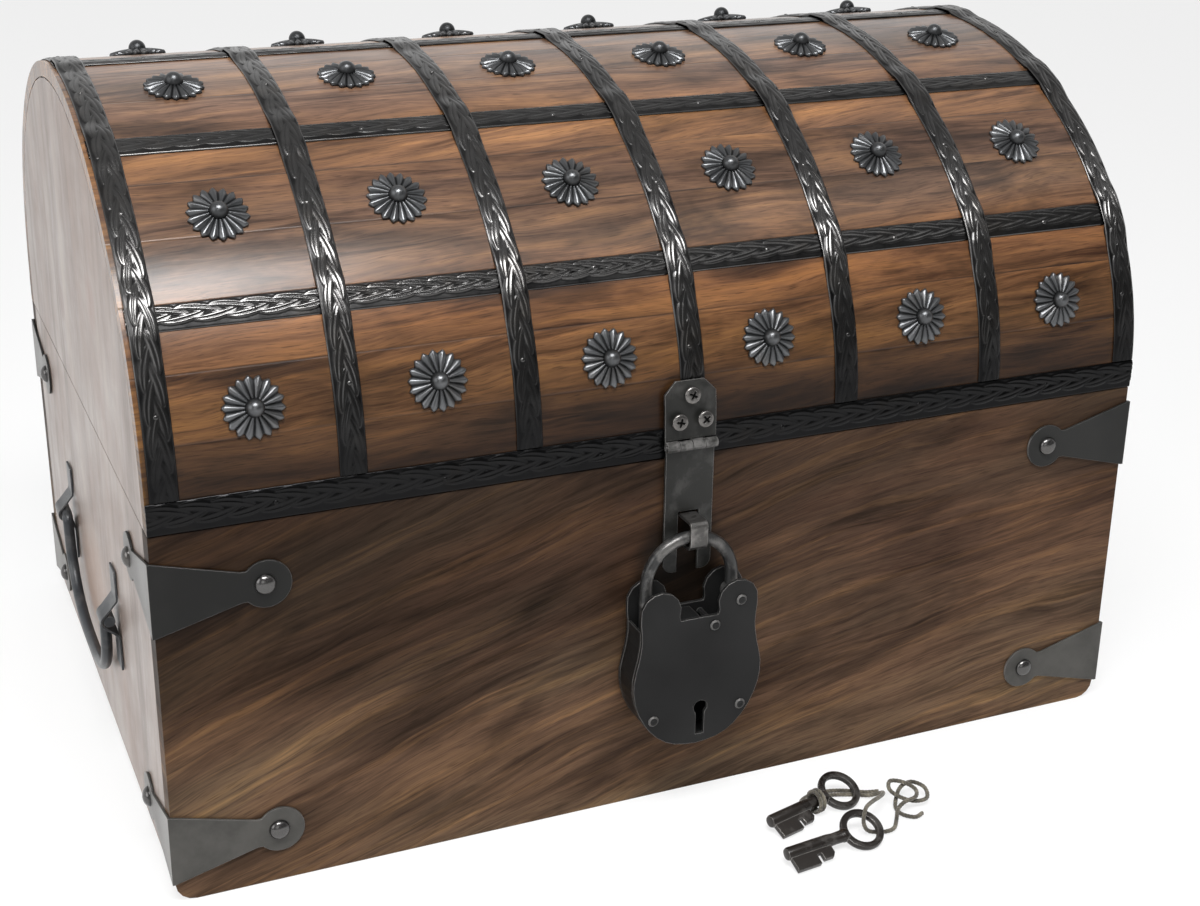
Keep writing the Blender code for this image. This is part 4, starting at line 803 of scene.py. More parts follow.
def tube(path, radius, sides=16, across=None, closed=False, shape=None):
    """A tube along a path as (points, quads, uvs). shape(k, angle) scales the radius of ring k."""
    path = [Vector(point) for point in path]
    count = len(path)
    angle = angles(sides)
    side = None
    rings = []
    for k, point in enumerate(path):
        if closed:
            heading = (path[(k + 1) % count] - path[k - 1]).normalized()
        else:
            heading = (path[min(k + 1, count - 1)] - path[max(k - 1, 0)]).normalized()
        if across is not None:
            side = (across - heading * across.dot(heading)).normalized()
        elif side is None:
            side = heading.orthogonal().normalized()
        else:
            side = (side - heading * side.dot(heading)).normalized()
        up = heading.cross(side)
        scale = np.ones(sides) if shape is None else shape(k, angle)
        ring = np.outer(np.cos(angle) * radius * scale, side)
        rings.append(ring + np.outer(np.sin(angle) * radius * scale, up) + np.array(point))
    if not closed:
        first, last = (end * 0.03 + end.mean(0) * 0.97 for end in (rings[0], rings[-1]))
        rings = [first, *rings, last]
    points = np.concatenate(rings)
    return points, ring_quads(len(rings), sides, closed), np.zeros((len(points), 2))


def plate(outline, to_world, low, high, bevel=0.0):
    """A flat plate as a bmesh, from an outline of (u, v) points, its rims rounded by a bevel."""
    shape = bmesh.new()
    under = [shape.verts.new(to_world(u, v, low)) for u, v in outline]
    over = [shape.verts.new(to_world(u, v, high)) for u, v in outline]
    shape.faces.new(over)
    shape.faces.new(under[::-1])
    for i in range(len(outline)):
        j = (i + 1) % len(outline)
        shape.faces.new((under[i], under[j], over[j], over[i]))
    bmesh.ops.recalc_face_normals(shape, faces=shape.faces)
    if bevel:
        rims = [
            e for e in shape.edges
            if len(e.link_faces) == 2 and e.calc_face_angle(0) > math.radians(40)
        ]
        bmesh.ops.bevel(shape, geom=rims, offset=bevel, segments=2, profile=0.7, affect="EDGES")
    return shape


def merged(shapes, arrays=()):
    """One bmesh from several, and from (points, quads, uvs) arrays."""
    whole = bmesh.new()
    for shape in shapes:
        mesh = bpy.data.meshes.new("part")
        shape.to_mesh(mesh)
        shape.free()
        whole.from_mesh(mesh)
        bpy.data.meshes.remove(mesh)
    for points, quads in (array[:2] for array in arrays):
        verts = [whole.verts.new(point) for point in points.tolist()]
        for quad in quads.tolist():
            whole.faces.new([verts[i] for i in quad])
    bmesh.ops.recalc_face_normals(whole, faces=whole.faces)
    return whole


def arc(centre_u, centre_v, radius, start, end, steps):
    """Points on an arc between two angles in degrees."""
    return [
        (centre_u + radius * math.cos(a), centre_v + radius * math.sin(a))
        for a in (math.radians(start + (end - start) * i / steps) for i in range(steps + 1))
    ]


# ---------------------------------------------------------------- camera and twine
def make_camera():
    data = bpy.data.cameras.new("camera")
    data.sensor_width = 36.0
    data.sensor_fit = "HORIZONTAL"
    data.lens = FOCAL_PIXELS / PHOTO_WIDTH * 36.0
    data.shift_x = (PHOTO_WIDTH / 2 - AXIS_PIXEL[0]) / PHOTO_WIDTH
    data.shift_y = (AXIS_PIXEL[1] - PHOTO_HEIGHT / 2) / PHOTO_WIDTH
    data.clip_start = 0.01
    right = Vector((0.92095, -0.38956, 0.00960))
    up = Vector((0.13250, 0.33621, 0.93242))
    ahead = Vector((0.36646, 0.85744, -0.36125))
    turn = Matrix((right, up, -ahead)).transposed().to_4x4()
    obj = linked(bpy.data.objects.new("camera", data))
    obj.matrix_world = Matrix.Translation((-0.30885, -0.76242, 0.43302)) @ turn
    bpy.context.scene.camera = obj


def key_frame(name):
    """A key's own axes: from its ring to its tip, to its bit, and up through the ring."""
    tip, ring = (FRONT_FOOT + Vector((*place, 0)) for place in KEY_PLACES[name])
    ahead = (tip - ring).normalized()
    sideways = Vector((-ahead.y, ahead.x, 0))
    to_bit = sideways * math.cos(KEY_TILT) + Vector((0, 0, -math.sin(KEY_TILT)))
    height = KEY_RING_RADIUS * math.sin(KEY_TILT) + KEY_WIRE_RADIUS
    frame = Matrix((ahead, to_bit, ahead.cross(to_bit))).transposed().to_4x4()
    return Matrix.Translation(ring + Vector((0, 0, height))) @ frame


def neck_wraps():
    """The twine's turns round the first key's shank, beside its ring."""
    frame = key_frame("key_1")
    centre = frame.translation
    ahead = frame.col[0].xyz
    away = Vector((ahead.y, -ahead.x, 0))
    per_turn = 8
    radius = (KEY_SHANK_RADIUS + TWINE_RADIUS + FIT_GAP) / math.cos(math.pi / per_turn)
    first = KEY_RING_RADIUS + KEY_WIRE_RADIUS + 2 * TWINE_RADIUS
    points = []
    for i in range(per_turn * 2):
        angle = 2 * math.pi * (i + 1.5) / per_turn
        along = first + (2 * TWINE_RADIUS + FIT_GAP) * i / per_turn
        across = away * math.sin(angle) - Vector((0, 0, math.cos(angle)))
        points.append(centre + ahead * along + across * radius)
    return points


# The twine's route before and after its turns round the key, from the middle of the front foot
TWINE_BEFORE = (
    (0.0860, -0.0573, 0.0010), (0.0815, -0.0587, 0.0010), (0.0775, -0.0550, 0.0011),
    (0.0775, -0.0500, 0.0012), (0.0800, -0.0460, 0.0030), (0.0845, -0.0420, 0.0050),
    (0.0905, -0.0407, 0.0055), (0.0945, -0.0450, 0.0045), (0.0925, -0.0505, 0.0030),
    (0.0865, -0.0510, 0.0030), (0.0810, -0.0485, 0.0045), (0.0775, -0.0445, 0.0068),
    (0.0800, -0.0405, 0.0082), (0.0850, -0.0427, 0.0078), (0.0885, -0.0470, 0.0062),
    (0.0860, -0.0515, 0.0056), (0.0800, -0.0525, 0.0050), (0.0760, -0.0540, 0.0034),
    (0.0725, -0.0585, 0.0020), (0.0690, -0.0625, 0.0012), (0.0650, -0.0635, 0.0011),
    (0.0605, -0.0623, 0.0011), (0.0568, -0.0613, 0.0022), (0.0552, -0.0605, 0.0055),
    (0.0554, -0.0600, 0.0094), (0.0580, -0.0575, 0.0110), (0.0630, -0.0540, 0.0103),
    (0.0680, -0.0505, 0.0088), (0.0725, -0.0465, 0.0068), (0.0755, -0.0420, 0.0045),
    (0.0720, -0.0380, 0.0016), (0.0665, -0.0345, 0.0011), (0.0605, -0.0320, 0.0011),
    (0.0550, -0.0307, 0.0012), (0.0500, -0.0311, 0.0018),
)
TWINE_AFTER = (
    (0.0422, -0.0330, 0.0010), (0.0432, -0.0301, 0.0010), (0.0470, -0.0281, 0.0010),
    (0.0520, -0.0274, 0.0010), (0.0570, -0.0276, 0.0010), (0.0620, -0.0290, 0.0010),
    (0.0670, -0.0315, 0.0010), (0.0720, -0.0347, 0.0012), (0.0765, -0.0377, 0.0024),
)


def smooth_route(points, steps):
    """A smooth line through points, for a strand of even thickness."""
    line = []
    for i in range(len(points) - 1):
        a = points[max(i - 1, 0)]
        b, c = points[i], points[i + 1]
        d = points[min(i + 2, len(points) - 1)]
        for k in range(steps):
            t = k / steps
            line.append(
                0.5 * (2 * b + (c - a) * t + (2 * a - 5 * b + 4 * c - d) * t**2
                       + (3 * b - a - 3 * c + d) * t**3)
            )
    return [*line, points[-1]]


def make_twine():
    """Three-ply twine, laid in its real turns: each ply is a ridge that winds about the strand."""
    route = [FRONT_FOOT + Vector(point) for point in TWINE_BEFORE]
    route += neck_wraps()
    route += [FRONT_FOOT + Vector(point) for point in TWINE_AFTER]
    coarse = smooth_route(route, 8)
    steps = [(b - a).length for a, b in zip(coarse, coarse[1:])]
    length = sum(steps)
    travelled = np.concatenate([[0], np.cumsum(steps)])
    marks = np.linspace(0, length, TWINE_RINGS)
    line = np.stack([np.interp(marks, travelled, [p[i] for p in coarse]) for i in range(3)], -1)
    line[:, 2] = np.maximum(line[:, 2], TWINE_RADIUS + 0.00006)

    def ridge(k, angle):
        return np.abs(np.cos(1.5 * (angle - 2 * math.pi * marks[k] / TWINE_LAY)))

    def plies(k, angle):
        return 0.84 + 0.16 * ridge(k, angle)

    strand = tube(line.tolist(), TWINE_RADIUS, TWINE_SIDES, shape=plies)
    rings = [0, *range(TWINE_RINGS), TWINE_RINGS - 1]
    relief = np.concatenate([ridge(k, angles(TWINE_SIDES)) ** 0.7 for k in rings])
    twine = piece("twine_strand", mesh_of(*strand, relief), twine_fibre, "keys", ["twine"], 180)


make_camera()
make_twine()


# ---------------------------------------------------------------- the lid's wood and rosettes
def make_skin():
    stations = np.linspace(SEAM_GAP, LID_ARC - SEAM_GAP, 260)
    xs = np.linspace(-HALF_WIDTH, HALF_WIDTH, 3)
    grid_s, grid_x = np.meshgrid(stations, xs, indexing="ij")
    top = np.zeros_like(grid_s)
    skin = slab(grid_s, grid_x, top, top - LID_SKIN)
    piece("lid_skin", mesh_of(*skin), lid_wood, "lid", ["lid_shell"])


def rosette_mesh():
    """One cast rosette at the origin, facing +Z: pointed, sharply creased petals round a dome."""
    phi = angles(PETALS * 8)
    turns = PETALS * phi / (2 * np.pi)
    off = 2 * np.abs(turns - np.round(turns))  # 0 on a petal's ridge, 1 in a crease
    petal = (1 - off**1.5) ** 0.75
    one = np.ones(len(phi))
    rim = ROSETTE_RADIUS * (1.0 - 0.14 * off**1.15)
    rings, relief = [], []

    def ring(radius, height, shine):
        rings.append(np.stack([radius * np.cos(phi), radius * np.sin(phi), height * one], -1))
        relief.append(shine * one)

    ring(rim * 0.97, -0.0003, 0.2)
    ring(rim, 0.0002 + 0.0004 * petal, 0.3 + 0.4 * petal)
    ring(rim * 0.985, 0.0004 + 0.0007 * petal, 0.3 + 0.5 * petal)
    for t in np.linspace(0.05, 1.0, 13):
        radius = rim * (1 - t) + ROSETTE_BOSS * 1.02 * t
        swell = math.sin(math.pi * min(1.0, 0.25 + 0.62 * t))
        swell = 0.0004 + 0.0007 * swell * (1 - 0.25 * t)
        shine = (0.66 + 0.34 * petal) * (0.95 - 0.40 * t)
        ring(radius, 0.0005 + 0.0018 * t + swell * petal, shine)
    ring(ROSETTE_BOSS * 0.99, 0.0023, 0.05)
    for a in np.linspace(0.0, 1.0, 11):
        angle = a * math.pi / 2
        height = 0.0029 + (ROSETTE_HEIGHT - 0.0029) * math.sin(angle)
        ring(ROSETTE_BOSS * (math.cos(angle) * 0.99 + 0.01), height, 0.25 + 0.65 * a)
    return np.concatenate(rings), ring_quads(len(rings), len(phi)), np.concatenate(relief)


def make_rosettes():
    base, quads, shine = rosette_mesh()
    for number, station in enumerate(rows(), 1):
        parts = []
        for k, x in enumerate(columns()):
            slip_x, slip_s = ROSETTE_SLIPS.get((number, k), (0.0, 0.0))
            point, normal = lid_frame(station + slip_s)
            spin = Matrix.Rotation(0.7 * k + 1.3 * number, 3, "Z")
            turn = np.array(upright(normal) @ spin)
            points = base @ turn.T + np.array((x + slip_x, point.y, point.z))
            parts.append((points, quads, points[:, :2]))
        mesh = mesh_of(*joined(parts), np.tile(shine, len(parts)))
        piece(f"rosettes_row_{number}", mesh, rosette_iron, "lid", ["lid_shell"], 60)


# ---------------------------------------------------------------- bands
PLAIT = 0.0118


def plait(u, v, half):
    """Height, 0 to 1, of a flat plait: lobes that start at either edge and run into its middle."""
    height = np.zeros_like(u)
    for side, shift in ((1, 0.0), (-1, 0.5)):
        for lag in (0, 1):
            s = np.mod(u / PLAIT + shift, 1.0) + lag - 0.15
            end = unit((s + 0.15) / 1.45)
            bow = np.clip(s, 0, 2) / 1.3
            centre = half * (0.60 - 0.74 * bow**1.9)
            reach = half * (0.43 * np.sin(np.pi * unit(end * 0.94 + 0.03)) ** 0.5 + 0.001)
            t = (side * v - centre) / reach
            body = np.sqrt(unit(1 - t * t))
            groove = 0.50 * np.exp(-(((t - 0.10) / 0.20) ** 2))
            level = 0.62 + 0.38 * np.cos(np.pi * (end - 0.35) / 1.3)
            height = np.maximum(height, unit(body - groove) * level)
    return height


def hammered(u, v, seed):
    """Slow dents, the same each run."""
    a = np.sin(u * 310 + seed) * np.sin(v * 420 + 1.7 * seed)
    b = np.sin(u * 131 + v * 260 + 2.3 * seed)
    return 0.5 * a + 0.5 * b


def band_height(u, v, width, seed, lip, deep):
    """Depth under the band's own top, and how rubbed it is. The plain lip is at low v, and deep is
    how far the plait stands out."""
    half = width * (0.5 - lip / 2 - 0.02)
    raised = plait(u, v - width * lip / 2, half)
    # The die struck deeper in some places than in others
    struck = deep * (1 + 0.25 * np.sin(u * 53 + 2.1 * seed) * np.sin(u * 21 + seed))
    edge = unit((width / 2 - np.abs(v)) / 0.0006)
    rounded = -0.0003 * (1 - np.sqrt(edge))
    flat = 0.42
    form = flat + (raised - flat) * struck
    depth = (form - 1.0) * 0.00086 + 0.00006 * (hammered(u, v, seed) - 1) + rounded
    relief = unit(0.34 + 0.66 * unit(form - 0.25) / 0.60)
    return depth, np.maximum(relief, 0.75 * (edge < 0.8))


def make_band(name, node, band, relief, nails):
    """A band with a nail head at each (x, station) of nails."""
    parts, shine = [band], [relief.ravel(), np.full(relief.size, 0.1)]
    for x, station in nails:
        point, normal = lid_frame(station)
        spot = np.array((x, point.y, point.z)) + np.array(normal) * (LOW[1] - 0.0006)
        parts.append(dome(spot, normal, *BAND_NAIL))
        shine.append(np.full(len(parts[-1][0]), 0.8))
    mesh = mesh_of(*joined(parts), np.concatenate(shine))
    piece(name, mesh, band_iron, "lid", [node], 60)


def make_rails():
    half = RAIL_WIDTH / 2
    spans = [(SEAM_GAP, FOOT_RAIL_WIDTH)]
    spans += [(centre - half, centre + half) for centre in rail_centres()]
    spans.append((LID_ARC - FOOT_RAIL_WIDTH, LID_ARC - SEAM_GAP))
    for number, (low, high) in enumerate(spans, 1):
        foot = number in (1, 7)
        end = HALF_WIDTH if foot else HALF_WIDTH - RAIL_END_INSET
        width, middle = high - low, (low + high) / 2
        across = np.linspace(low, high, int(width / 0.0003))
        along = np.linspace(-end, end, 1000)
        grid_s, grid_x = np.meshgrid(across, along, indexing="ij")
        v = grid_s - middle if number < 5 else middle - grid_s
        # The second rail is worn flat at its right half, and the rails higher up along all of it
        worn = unit((grid_x + 0.01) / 0.07) if number == 2 else 1.0
        deep = 0.6 if foot else 0.95 - 0.55 * worn
        depth, relief = band_height(grid_x + 0.0037 * number, v, width, number, 0.16, deep)
        band = slab(grid_s, grid_x, LOW[1] + depth, np.full_like(depth, LOW[0]))
        nails = [
            (x + 0.006 * math.sin(2.1 * k + number), middle + 0.001 * math.sin(k + 3.0 * number))
            for k, x in enumerate(columns())
        ]
        make_band(f"rail_{number}", f"rail_band_{number}", band, relief, nails)


def eased(values, stations, heights):
    """Heights between the stations, with a smooth start and end to each climb."""
    low = np.clip(np.searchsorted(stations, values, side="right") - 1, 0, len(stations) - 2)
    stations, heights = np.array(stations), np.array(heights)
    t = unit((values - stations[low]) / (stations[low + 1] - stations[low]))
    return heights[low] + (heights[low + 1] - heights[low]) * t * t * (3 - 2 * t)


def make_arches():
    under, over = arch_lift(ARCH_RAMP), arch_lift(ARCH_EASE)
    across = np.linspace(-ARCH_WIDTH / 2, ARCH_WIDTH / 2, 35)
    along = np.linspace(under[0][0], under[0][-1], 1250)
    grid_s, grid_v = np.meshgrid(along, across, indexing="ij")
    # The plait stands out most where the arches come up to the second rail
    off = np.minimum(grid_s, LID_ARC - grid_s) - 0.082
    deep = 0.45 + 0.40 * np.exp(-((off / 0.030) ** 2))
    top, bottom = eased(grid_s, *over) + BAND_THICKNESS, np.interp(grid_s, *under)
    for number in range(ARCH_COUNT):
        x0 = ARCH_FIRST_X + ARCH_PITCH * number
        u = grid_s + 0.0047 * number
        depth, relief = band_height(u, grid_v, ARCH_WIDTH, 3.0 * number + 1, 0.06, deep)
        band = slab(grid_s, x0 + grid_v, top + depth, bottom)
        nails = [
            (x0 + 0.0012 * math.sin(2.6 * k + 1.9 * number),
             station + 0.004 * math.sin(1.7 * k + number))
            for k, station in enumerate(rows())
        ]
        make_band(f"arch_{number + 1}", f"arch_band_{number + 1}", band, relief, nails)


# ---------------------------------------------------------------- corner irons
def bracket_outline(corner):
    """A corner iron's leaf: from the corner it narrows to a neck, then a round ear."""
    tall, neck = BRACKET_HALF_HEIGHT, BRACKET_NECK
    turn = 180 - math.degrees(math.asin(neck / BRACKET_EAR_RADIUS))
    return [
        (corner, -tall),
        (0, -tall),
        (BRACKET_NECK_REACH, -neck),
        *arc(BRACKET_EAR_REACH, 0, BRACKET_EAR_RADIUS, -turn, turn, 36),
        (BRACKET_NECK_REACH, neck),
        (0, tall),
        (corner, tall),
    ]


def make_bracket(name, side, across, z):
    """One corner iron of two leaves, and the round nails through their ears."""
    low, high = FIT_GAP, FIT_GAP + BRACKET_THICKNESS

    def on_face(u, v, depth):
        return Vector((side * (HALF_WIDTH - u), across * (HALF_DEPTH + depth), z + v))

    def on_end(u, v, depth):
        return Vector((side * (HALF_WIDTH + depth), across * (HALF_DEPTH - u), z + v))

    leaves = [
        plate(bracket_outline(-high), on_face, low, high),
        plate(bracket_outline(-low), on_end, low, high),
    ]
    piece(f"corner_{name}", merged(leaves), corner_iron, "box", [f"bracket_{name}"], 30)
    nails = [
        dome(where(BRACKET_EAR_REACH - 0.0005, 0, high - 0.0004), Vector(out), *EAR_NAIL, 28, 7)
        for where, out in ((on_face, (0, across, 0)), (on_end, (side, 0, 0)))
    ]
    shine = np.tile(np.repeat([0.3, 0.45, 0.6, 0.8, 0.95, 1, 1, 1, 1, 1], 28), 2)
    mesh = mesh_of(*joined(nails), shine)
    piece(f"corner_nails_{name}", mesh, nail_iron, "box", [f"bracket_{name}"], 60)


def make_brackets():
    for end, across in (("front", -1), ("back", 1)):
        for hand, side in (("left", -1), ("right", 1)):
            top = BRACKET_TOP_LEFT_Z if side < 0 else BRACKET_TOP_RIGHT_Z
            for level, z in (("top", top), ("bottom", BRACKET_BOTTOM_Z)):
                make_bracket(f"{end}_{hand}_{level}", side, across, z)


# ---------------------------------------------------------------- hasp screws
def crossed_slots(x, y):
    """1 in the crossed slots of a screw's head."""
    def slot(across, along):
        return unit((0.00042 - np.abs(across)) / 0.00016) * unit((0.0019 - np.abs(along)) / 0.0002)

    return np.maximum(slot(x, y), slot(y, x))


def make_screws():
    """Three round heads with crossed slots."""
    angle = angles(72)
    seat = HIGH[1] + BAND_THICKNESS + FIT_GAP
    for name, shift, station in SCREW_PLACES:
        point, normal = lid_frame(station)
        place = (HASP_X + shift, point.y, point.z)
        own = angle + SCREW_TURNS[name]
        rings, relief = [], []

        def ring(radius, height, shine):
            rings.append(np.stack([radius * np.cos(angle), radius * np.sin(angle),
                                   height + 0 * angle], -1))
            relief.append(shine + 0 * angle)

        ring(SCREW_HEAD_RADIUS, seat, 0.2)
        for t in np.linspace(0.0, 1.0, 22):
            radius = SCREW_HEAD_RADIUS * (1 - t) + 0.00003
            height = SCREW_HEAD_HEIGHT * (0.30 + 0.70 * math.sqrt(max(0.0, 1 - (1 - t) ** 2.4)))
            inside = crossed_slots(radius * np.cos(own), radius * np.sin(own))
            ring(radius, seat + height - 0.0009 * inside, (0.45 + 0.55 * (1 - t)) * (1 - inside))
        points = np.concatenate(rings) @ np.array(upright(normal)).T + np.array(place)
        head = (points, ring_quads(len(rings), len(angle)), np.zeros((len(points), 2)))
        shank = lathe(
            ((0.0005, seat - 0.0092), (0.0012, seat - 0.008), (0.0012, seat),
             (0.0012, seat + 0.0002)),
            Vector(place), normal, 12,
        )
        relief.append(np.full(len(shank[0]), 0.3))
        mesh = mesh_of(*joined([head, shank]), np.concatenate(relief))
        piece(f"screw_{name}", mesh, screw_iron, "lid", [f"hasp_screw_{name}"], 60)


# ---------------------------------------------------------------- shackle
def make_shackle():
    """A smooth bow with a notched free leg on the left and an eye on the right leg."""
    left, right = SHACKLE_X - SHACKLE_RADIUS, SHACKLE_X + SHACKLE_RADIUS
    foot = SHACKLE_Z - SHACKLE_FREE_LEG
    tongue_z = SHACKLE_PIVOT_Z - 0.0083
    reach = 0.0033 / 2 + FIT_GAP
    low, high, step = tongue_z - reach, tongue_z + reach, 0.00002
    heights = [foot, foot + 0.0006, low - step, low, high, high + step]
    path = [(left, SHACKLE_Y, z) for z in heights]
    bow = arc(SHACKLE_X, SHACKLE_Z, SHACKLE_RADIUS, 180, 0, 56)
    path += [(u, SHACKLE_Y, v) for u, v in bow]
    path.append((right, SHACKLE_Y, SHACKLE_PIVOT_Z))
    rod = tube(path, SHACKLE_ROD, 28, Vector((0, 1, 0)))
    points = rod[0]
    cut = np.abs(points[:, 2] - tongue_z) < reach + 0.00001
    cut &= points[:, 0] < left + SHACKLE_ROD + 0.001
    points[cut, 0] = np.minimum(points[cut, 0], left + SHACKLE_ROD - 0.0022)
    eye = lathe(
        ((0.0017, -0.0022), (SHACKLE_EYE * 0.94, -0.0022), (SHACKLE_EYE, -0.0017),
         (SHACKLE_EYE, 0.0017), (SHACKLE_EYE * 0.94, 0.0022), (0.0017, 0.0022),
         (0.0017, -0.0022)),
        Vector((right, SHACKLE_Y, SHACKLE_PIVOT_Z)), Vector((0, 1, 0)), 32,
    )
    # The leg stops in the eye's wall, clear of the rivet
    end = (points[:, 0] > right - 0.003) & (points[:, 2] < SHACKLE_PIVOT_Z + 0.0019)
    points[end, 2] = SHACKLE_PIVOT_Z + 0.0021
    mesh = mesh_of(*joined([rod, eye]))
    piece("shackle_bow", mesh, shackle_iron, "shackle", ["padlock_shackle"], 45)


# ---------------------------------------------------------------- handles
def bail_path():
    """One handle from pivot to pivot, as (y, z): bent in at both ends, then a flat-bottomed bow."""
    a, bend = HANDLE_HALF_SPAN, HANDLE_BEND
    drop = HANDLE_DROP - bend
    power = 2 / HANDLE_POWER
    bow = []
    for i in range(57):
        angle = math.pi * i / 56
        u = math.copysign(abs(math.cos(angle)) ** power, math.cos(angle))
        bow.append((a * u, HANDLE_Z - bend - drop * math.sin(angle) ** power))
    corner = arc(a + bend, HANDLE_Z - bend, bend, 90, 180, 9)[:-1]
    far_corner = [(-y, z) for y, z in reversed(corner)]
    return [(HANDLE_TENON, HANDLE_Z), *corner, *bow, *far_corner, (-HANDLE_TENON, HANDLE_Z)]


def strap_line():
    """A handle strap's middle line, as (depth, z): flat on the wood, and folded out round the
    rod."""
    flat = FIT_GAP + 0.00045
    return [
        (flat, HANDLE_Z + 0.0220),
        (flat, HANDLE_Z + 0.0105),
        (flat + 0.0002, HANDLE_Z + 0.0088),
        *arc(HANDLE_OUT, HANDLE_Z, HANDLE_ROD + 0.00085, 60, -55, 12),
        (flat + 0.0003, HANDLE_Z - 0.0072),
        (flat, HANDLE_Z - 0.0086),
        (flat, HANDLE_Z - 0.0230),
    ]


def make_handles():
    """On each end of the box: a smooth bail, and two straps folded over its pivots."""
    line = [Vector(point) for point in strap_line()]
    sides = []
    for k, point in enumerate(line):
        before = (point - line[max(k - 1, 0)]).normalized()
        after = (line[min(k + 1, len(line) - 1)] - point).normalized()
        heading = (before + after).normalized()
        sides.append(Vector((-heading.y, heading.x)) * 0.00045)
    outline = [tuple(p + s) for p, s in zip(line, sides)]
    outline += [tuple(p - s) for p, s in reversed(list(zip(line, sides)))]
    half = HANDLE_PLATE_WIDTH / 2
    for hand, side in (("left", -1), ("right", 1)):
        points = [Vector((side * (HALF_WIDTH + HANDLE_OUT), y, z)) for y, z in bail_path()]
        mesh = mesh_of(*tube(points, HANDLE_ROD, 20, Vector((1, 0, 0))))
        nodes = [f"handle_{hand}_bail"]
        piece(f"bail_{hand}", mesh, handle_iron, f"{hand}_handle", nodes, 60)
        for end, across in (("front", -1), ("back", 1)):

            def on_side(u, v, depth):
                return Vector((side * (HALF_WIDTH + u), across * HANDLE_PLATE_Y + depth, v))

            strap = merged([plate(outline, on_side, -half, half)])
            nodes = [f"handle_{hand}_plate_{end}"]
            piece(f"strap_{hand}_{end}", strap, handle_iron, "box", nodes, 35)


# ---------------------------------------------------------------- keys
def make_keys():
    """Each key: a flattened ring, a turned shank with a collar, and a two-toothed bit."""
    def squared(_, angle):
        return 1 / (np.cos(angle) ** 4 + np.sin(angle) ** 4) ** 0.25 * 0.87

    r = KEY_SHANK_RADIUS
    circle = [(KEY_RING_RADIUS * math.cos(a), KEY_RING_RADIUS * math.sin(a), 0)
              for a in (2 * math.pi * i / 56 for i in range(56))]
    for name, (tip, ring) in KEY_PLACES.items():
        length = (Vector(tip) - Vector(ring)).length
        bow = tube(circle, KEY_WIRE_RADIUS, 16, UP, True, squared)
        shank = lathe(
            ((0.3 * r, 0.0068), (0.82 * r, 0.0074), (r, 0.0090), (r, 0.0098), (0.90 * r, 0.0102),
             (0.88 * r, 0.0140), (0.92 * r, length - 0.0215), (0.98 * r, length - 0.0205),
             (0.98 * r, length - 0.0010), (0.86 * r, length - 0.0002), (0.5 * r, length),
             (0.03 * r, length)),
            Vector(), Vector((1, 0, 0)), 26,
        )
        outline = [(length - u, v) for u, v in KEY_BIT]
        bit = plate(outline, lambda u, v, w: Vector((u, v, w)), -0.0011, 0.0011, 0.00025)
        whole = merged([bit], [bow, shank])
        bmesh.ops.transform(whole, matrix=key_frame(name), verts=whole.verts)
        piece(f"{name}_forged", whole, key_iron, "keys", [name])


make_skin()
make_rosettes()
make_rails()
make_arches()
make_brackets()
make_screws()
make_shackle()
make_handles()
make_keys()

# ---------------------------------------------------------------- CAD nodes that keep their shape
PAINTS = {
    paint.slot: paint.material
    for paint in (
        box_wood, side_wood, lid_wood, band_iron, corner_iron, handle_iron, hasp_iron,
        staple_iron, padlock_iron, key_iron, twine_fibre,
    )
}
for part in frame["record"]["subparts"]:
    node = frame["nodes"][part["node"]]
    if not node.hide_render:
        node.data.materials.clear()
        node.data.materials.append(PAINTS[part["material_slot"]])


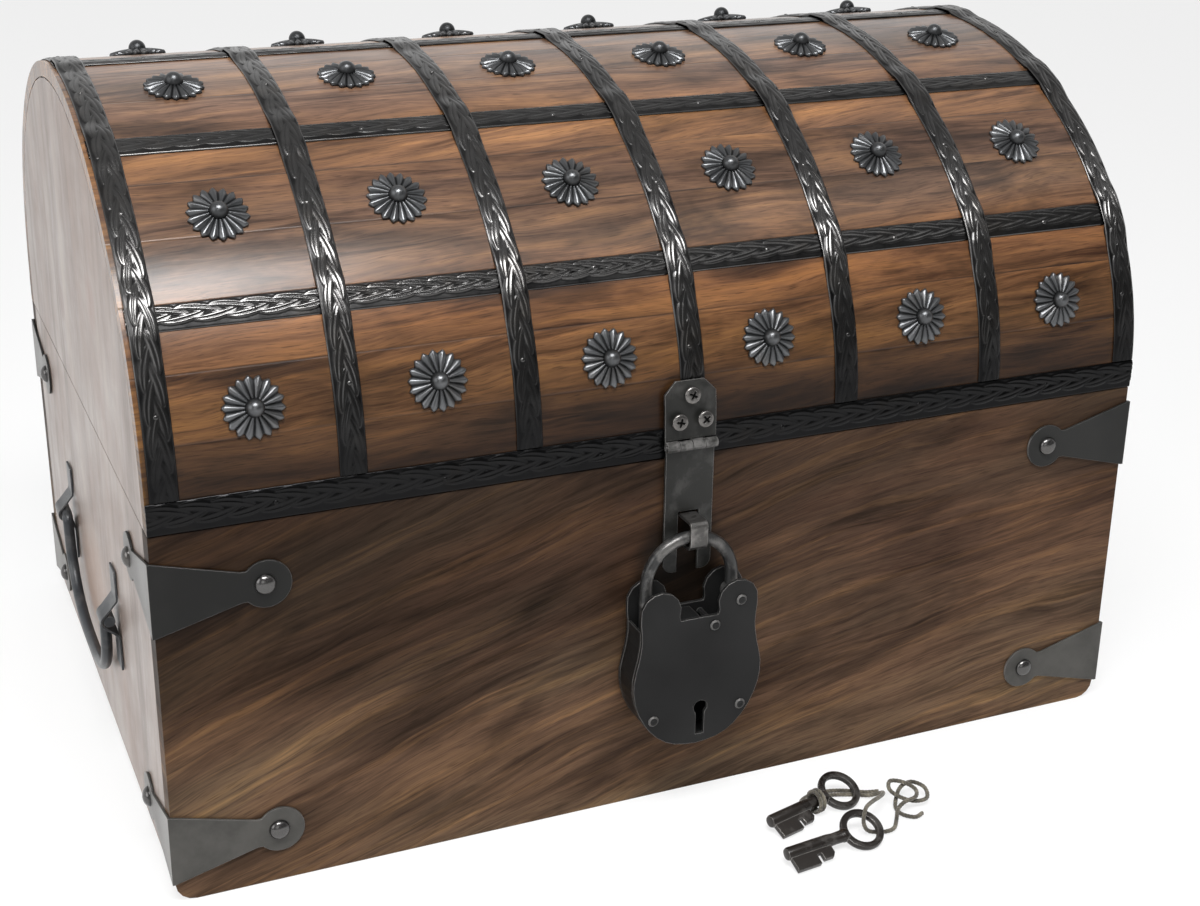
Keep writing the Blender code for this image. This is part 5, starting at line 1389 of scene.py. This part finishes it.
# ---------------------------------------------------------------- stage and light
def make_stage():
    """A wide floor that the camera and reflections see as white, with the object's shadow kept."""
    p = Paint("floor", None)
    path = p.node("ShaderNodeLightPath").node.outputs
    seen = p.most(path["Is Camera Ray"], path["Is Glossy Ray"])
    seen = p.most(seen, path["Is Transmission Ray"])
    p.set(Base_Color=(0.95, 0.95, 0.95, 1), Roughness=0.9, Specular_IOR_Level=0.0)
    glow = p.node("ShaderNodeEmission", {"Color": (1, 1, 1, 1), "Strength": 1.0})
    shares = {0: p.mul(seen, 0.74), 1: p.shader.outputs[0], 2: glow}
    blend = p.node("ShaderNodeMixShader", shares)
    feed(p.tree, p.tree.nodes["Material Output"].inputs[0], blend)
    shape = bmesh.new()
    shape.faces.new([
        shape.verts.new((40 * math.cos(a), 40 * math.sin(a), -0.0002))
        for a in (2 * math.pi * i / 48 for i in range(48))
    ])
    mesh = bpy.data.meshes.new("floor")
    shape.to_mesh(mesh)
    shape.free()
    mesh.materials.append(p.material)
    linked(bpy.data.objects.new("floor", mesh))


# Each lamp's name, place, target, size and power: a softbox over the front, and three fills
LAMPS = (
    ("softbox", (-0.24, -0.74, 1.25), (-0.15, -0.30, 0.0), (0.76, 0.40), 19.6),
    ("right_box", (0.62, -0.72, 1.25), (0.14, -0.25, 0.0), (0.9, 0.34), 1.0),
    ("left_fill", (-2.1, -0.55, 1.0), (0, 0, 0.1), (1.5, 1.3), 15.0),
    ("front_fill", (-0.9, -2.4, 0.9), (0, 0, 0.1), (1.2, 1.0), 5.0),
)


def make_light():
    """The lamps, and a room that is pale behind the object and darker in front and overhead."""
    for name, place, target, size, energy in LAMPS:
        data = bpy.data.lights.new(name, "AREA")
        data.shape = "RECTANGLE"
        data.size, data.size_y = size
        data.energy = energy
        obj = linked(bpy.data.objects.new(name, data))
        obj.location = place
        aim = Vector(target) - Vector(place)
        obj.rotation_euler = aim.to_track_quat("-Z", "Y").to_euler()
    world = bpy.context.scene.world or bpy.data.worlds.new("World")
    bpy.context.scene.world = world
    world.use_nodes = True
    tree = world.node_tree
    tree.nodes.clear()
    toward = add_node(tree, "ShaderNodeTexCoord", out="Generated")
    toward = add_node(tree, "ShaderNodeSeparateXYZ", {0: toward}).node.outputs

    def level(value, start, end, low, high):
        inputs = {0: value, 1: start, 2: end, 3: low, 4: high}
        return add_node(tree, "ShaderNodeMapRange", inputs, interpolation_type="SMOOTHSTEP")

    ahead = level(toward[1], -0.55, 0.35, 0.16, 0.95)
    overhead = level(toward[2], 0.30, 0.90, 1.0, 0.5)
    inputs = {0: ahead, 1: overhead}
    strength = add_node(tree, "ShaderNodeMath", inputs, operation="MULTIPLY")
    room = add_node(tree, "ShaderNodeBackground", {0: (1, 1, 1, 1), 1: strength})
    add_node(tree, "ShaderNodeOutputWorld", {0: room})


make_stage()
make_light()
bpy.context.scene.view_settings.view_transform = "Standard"
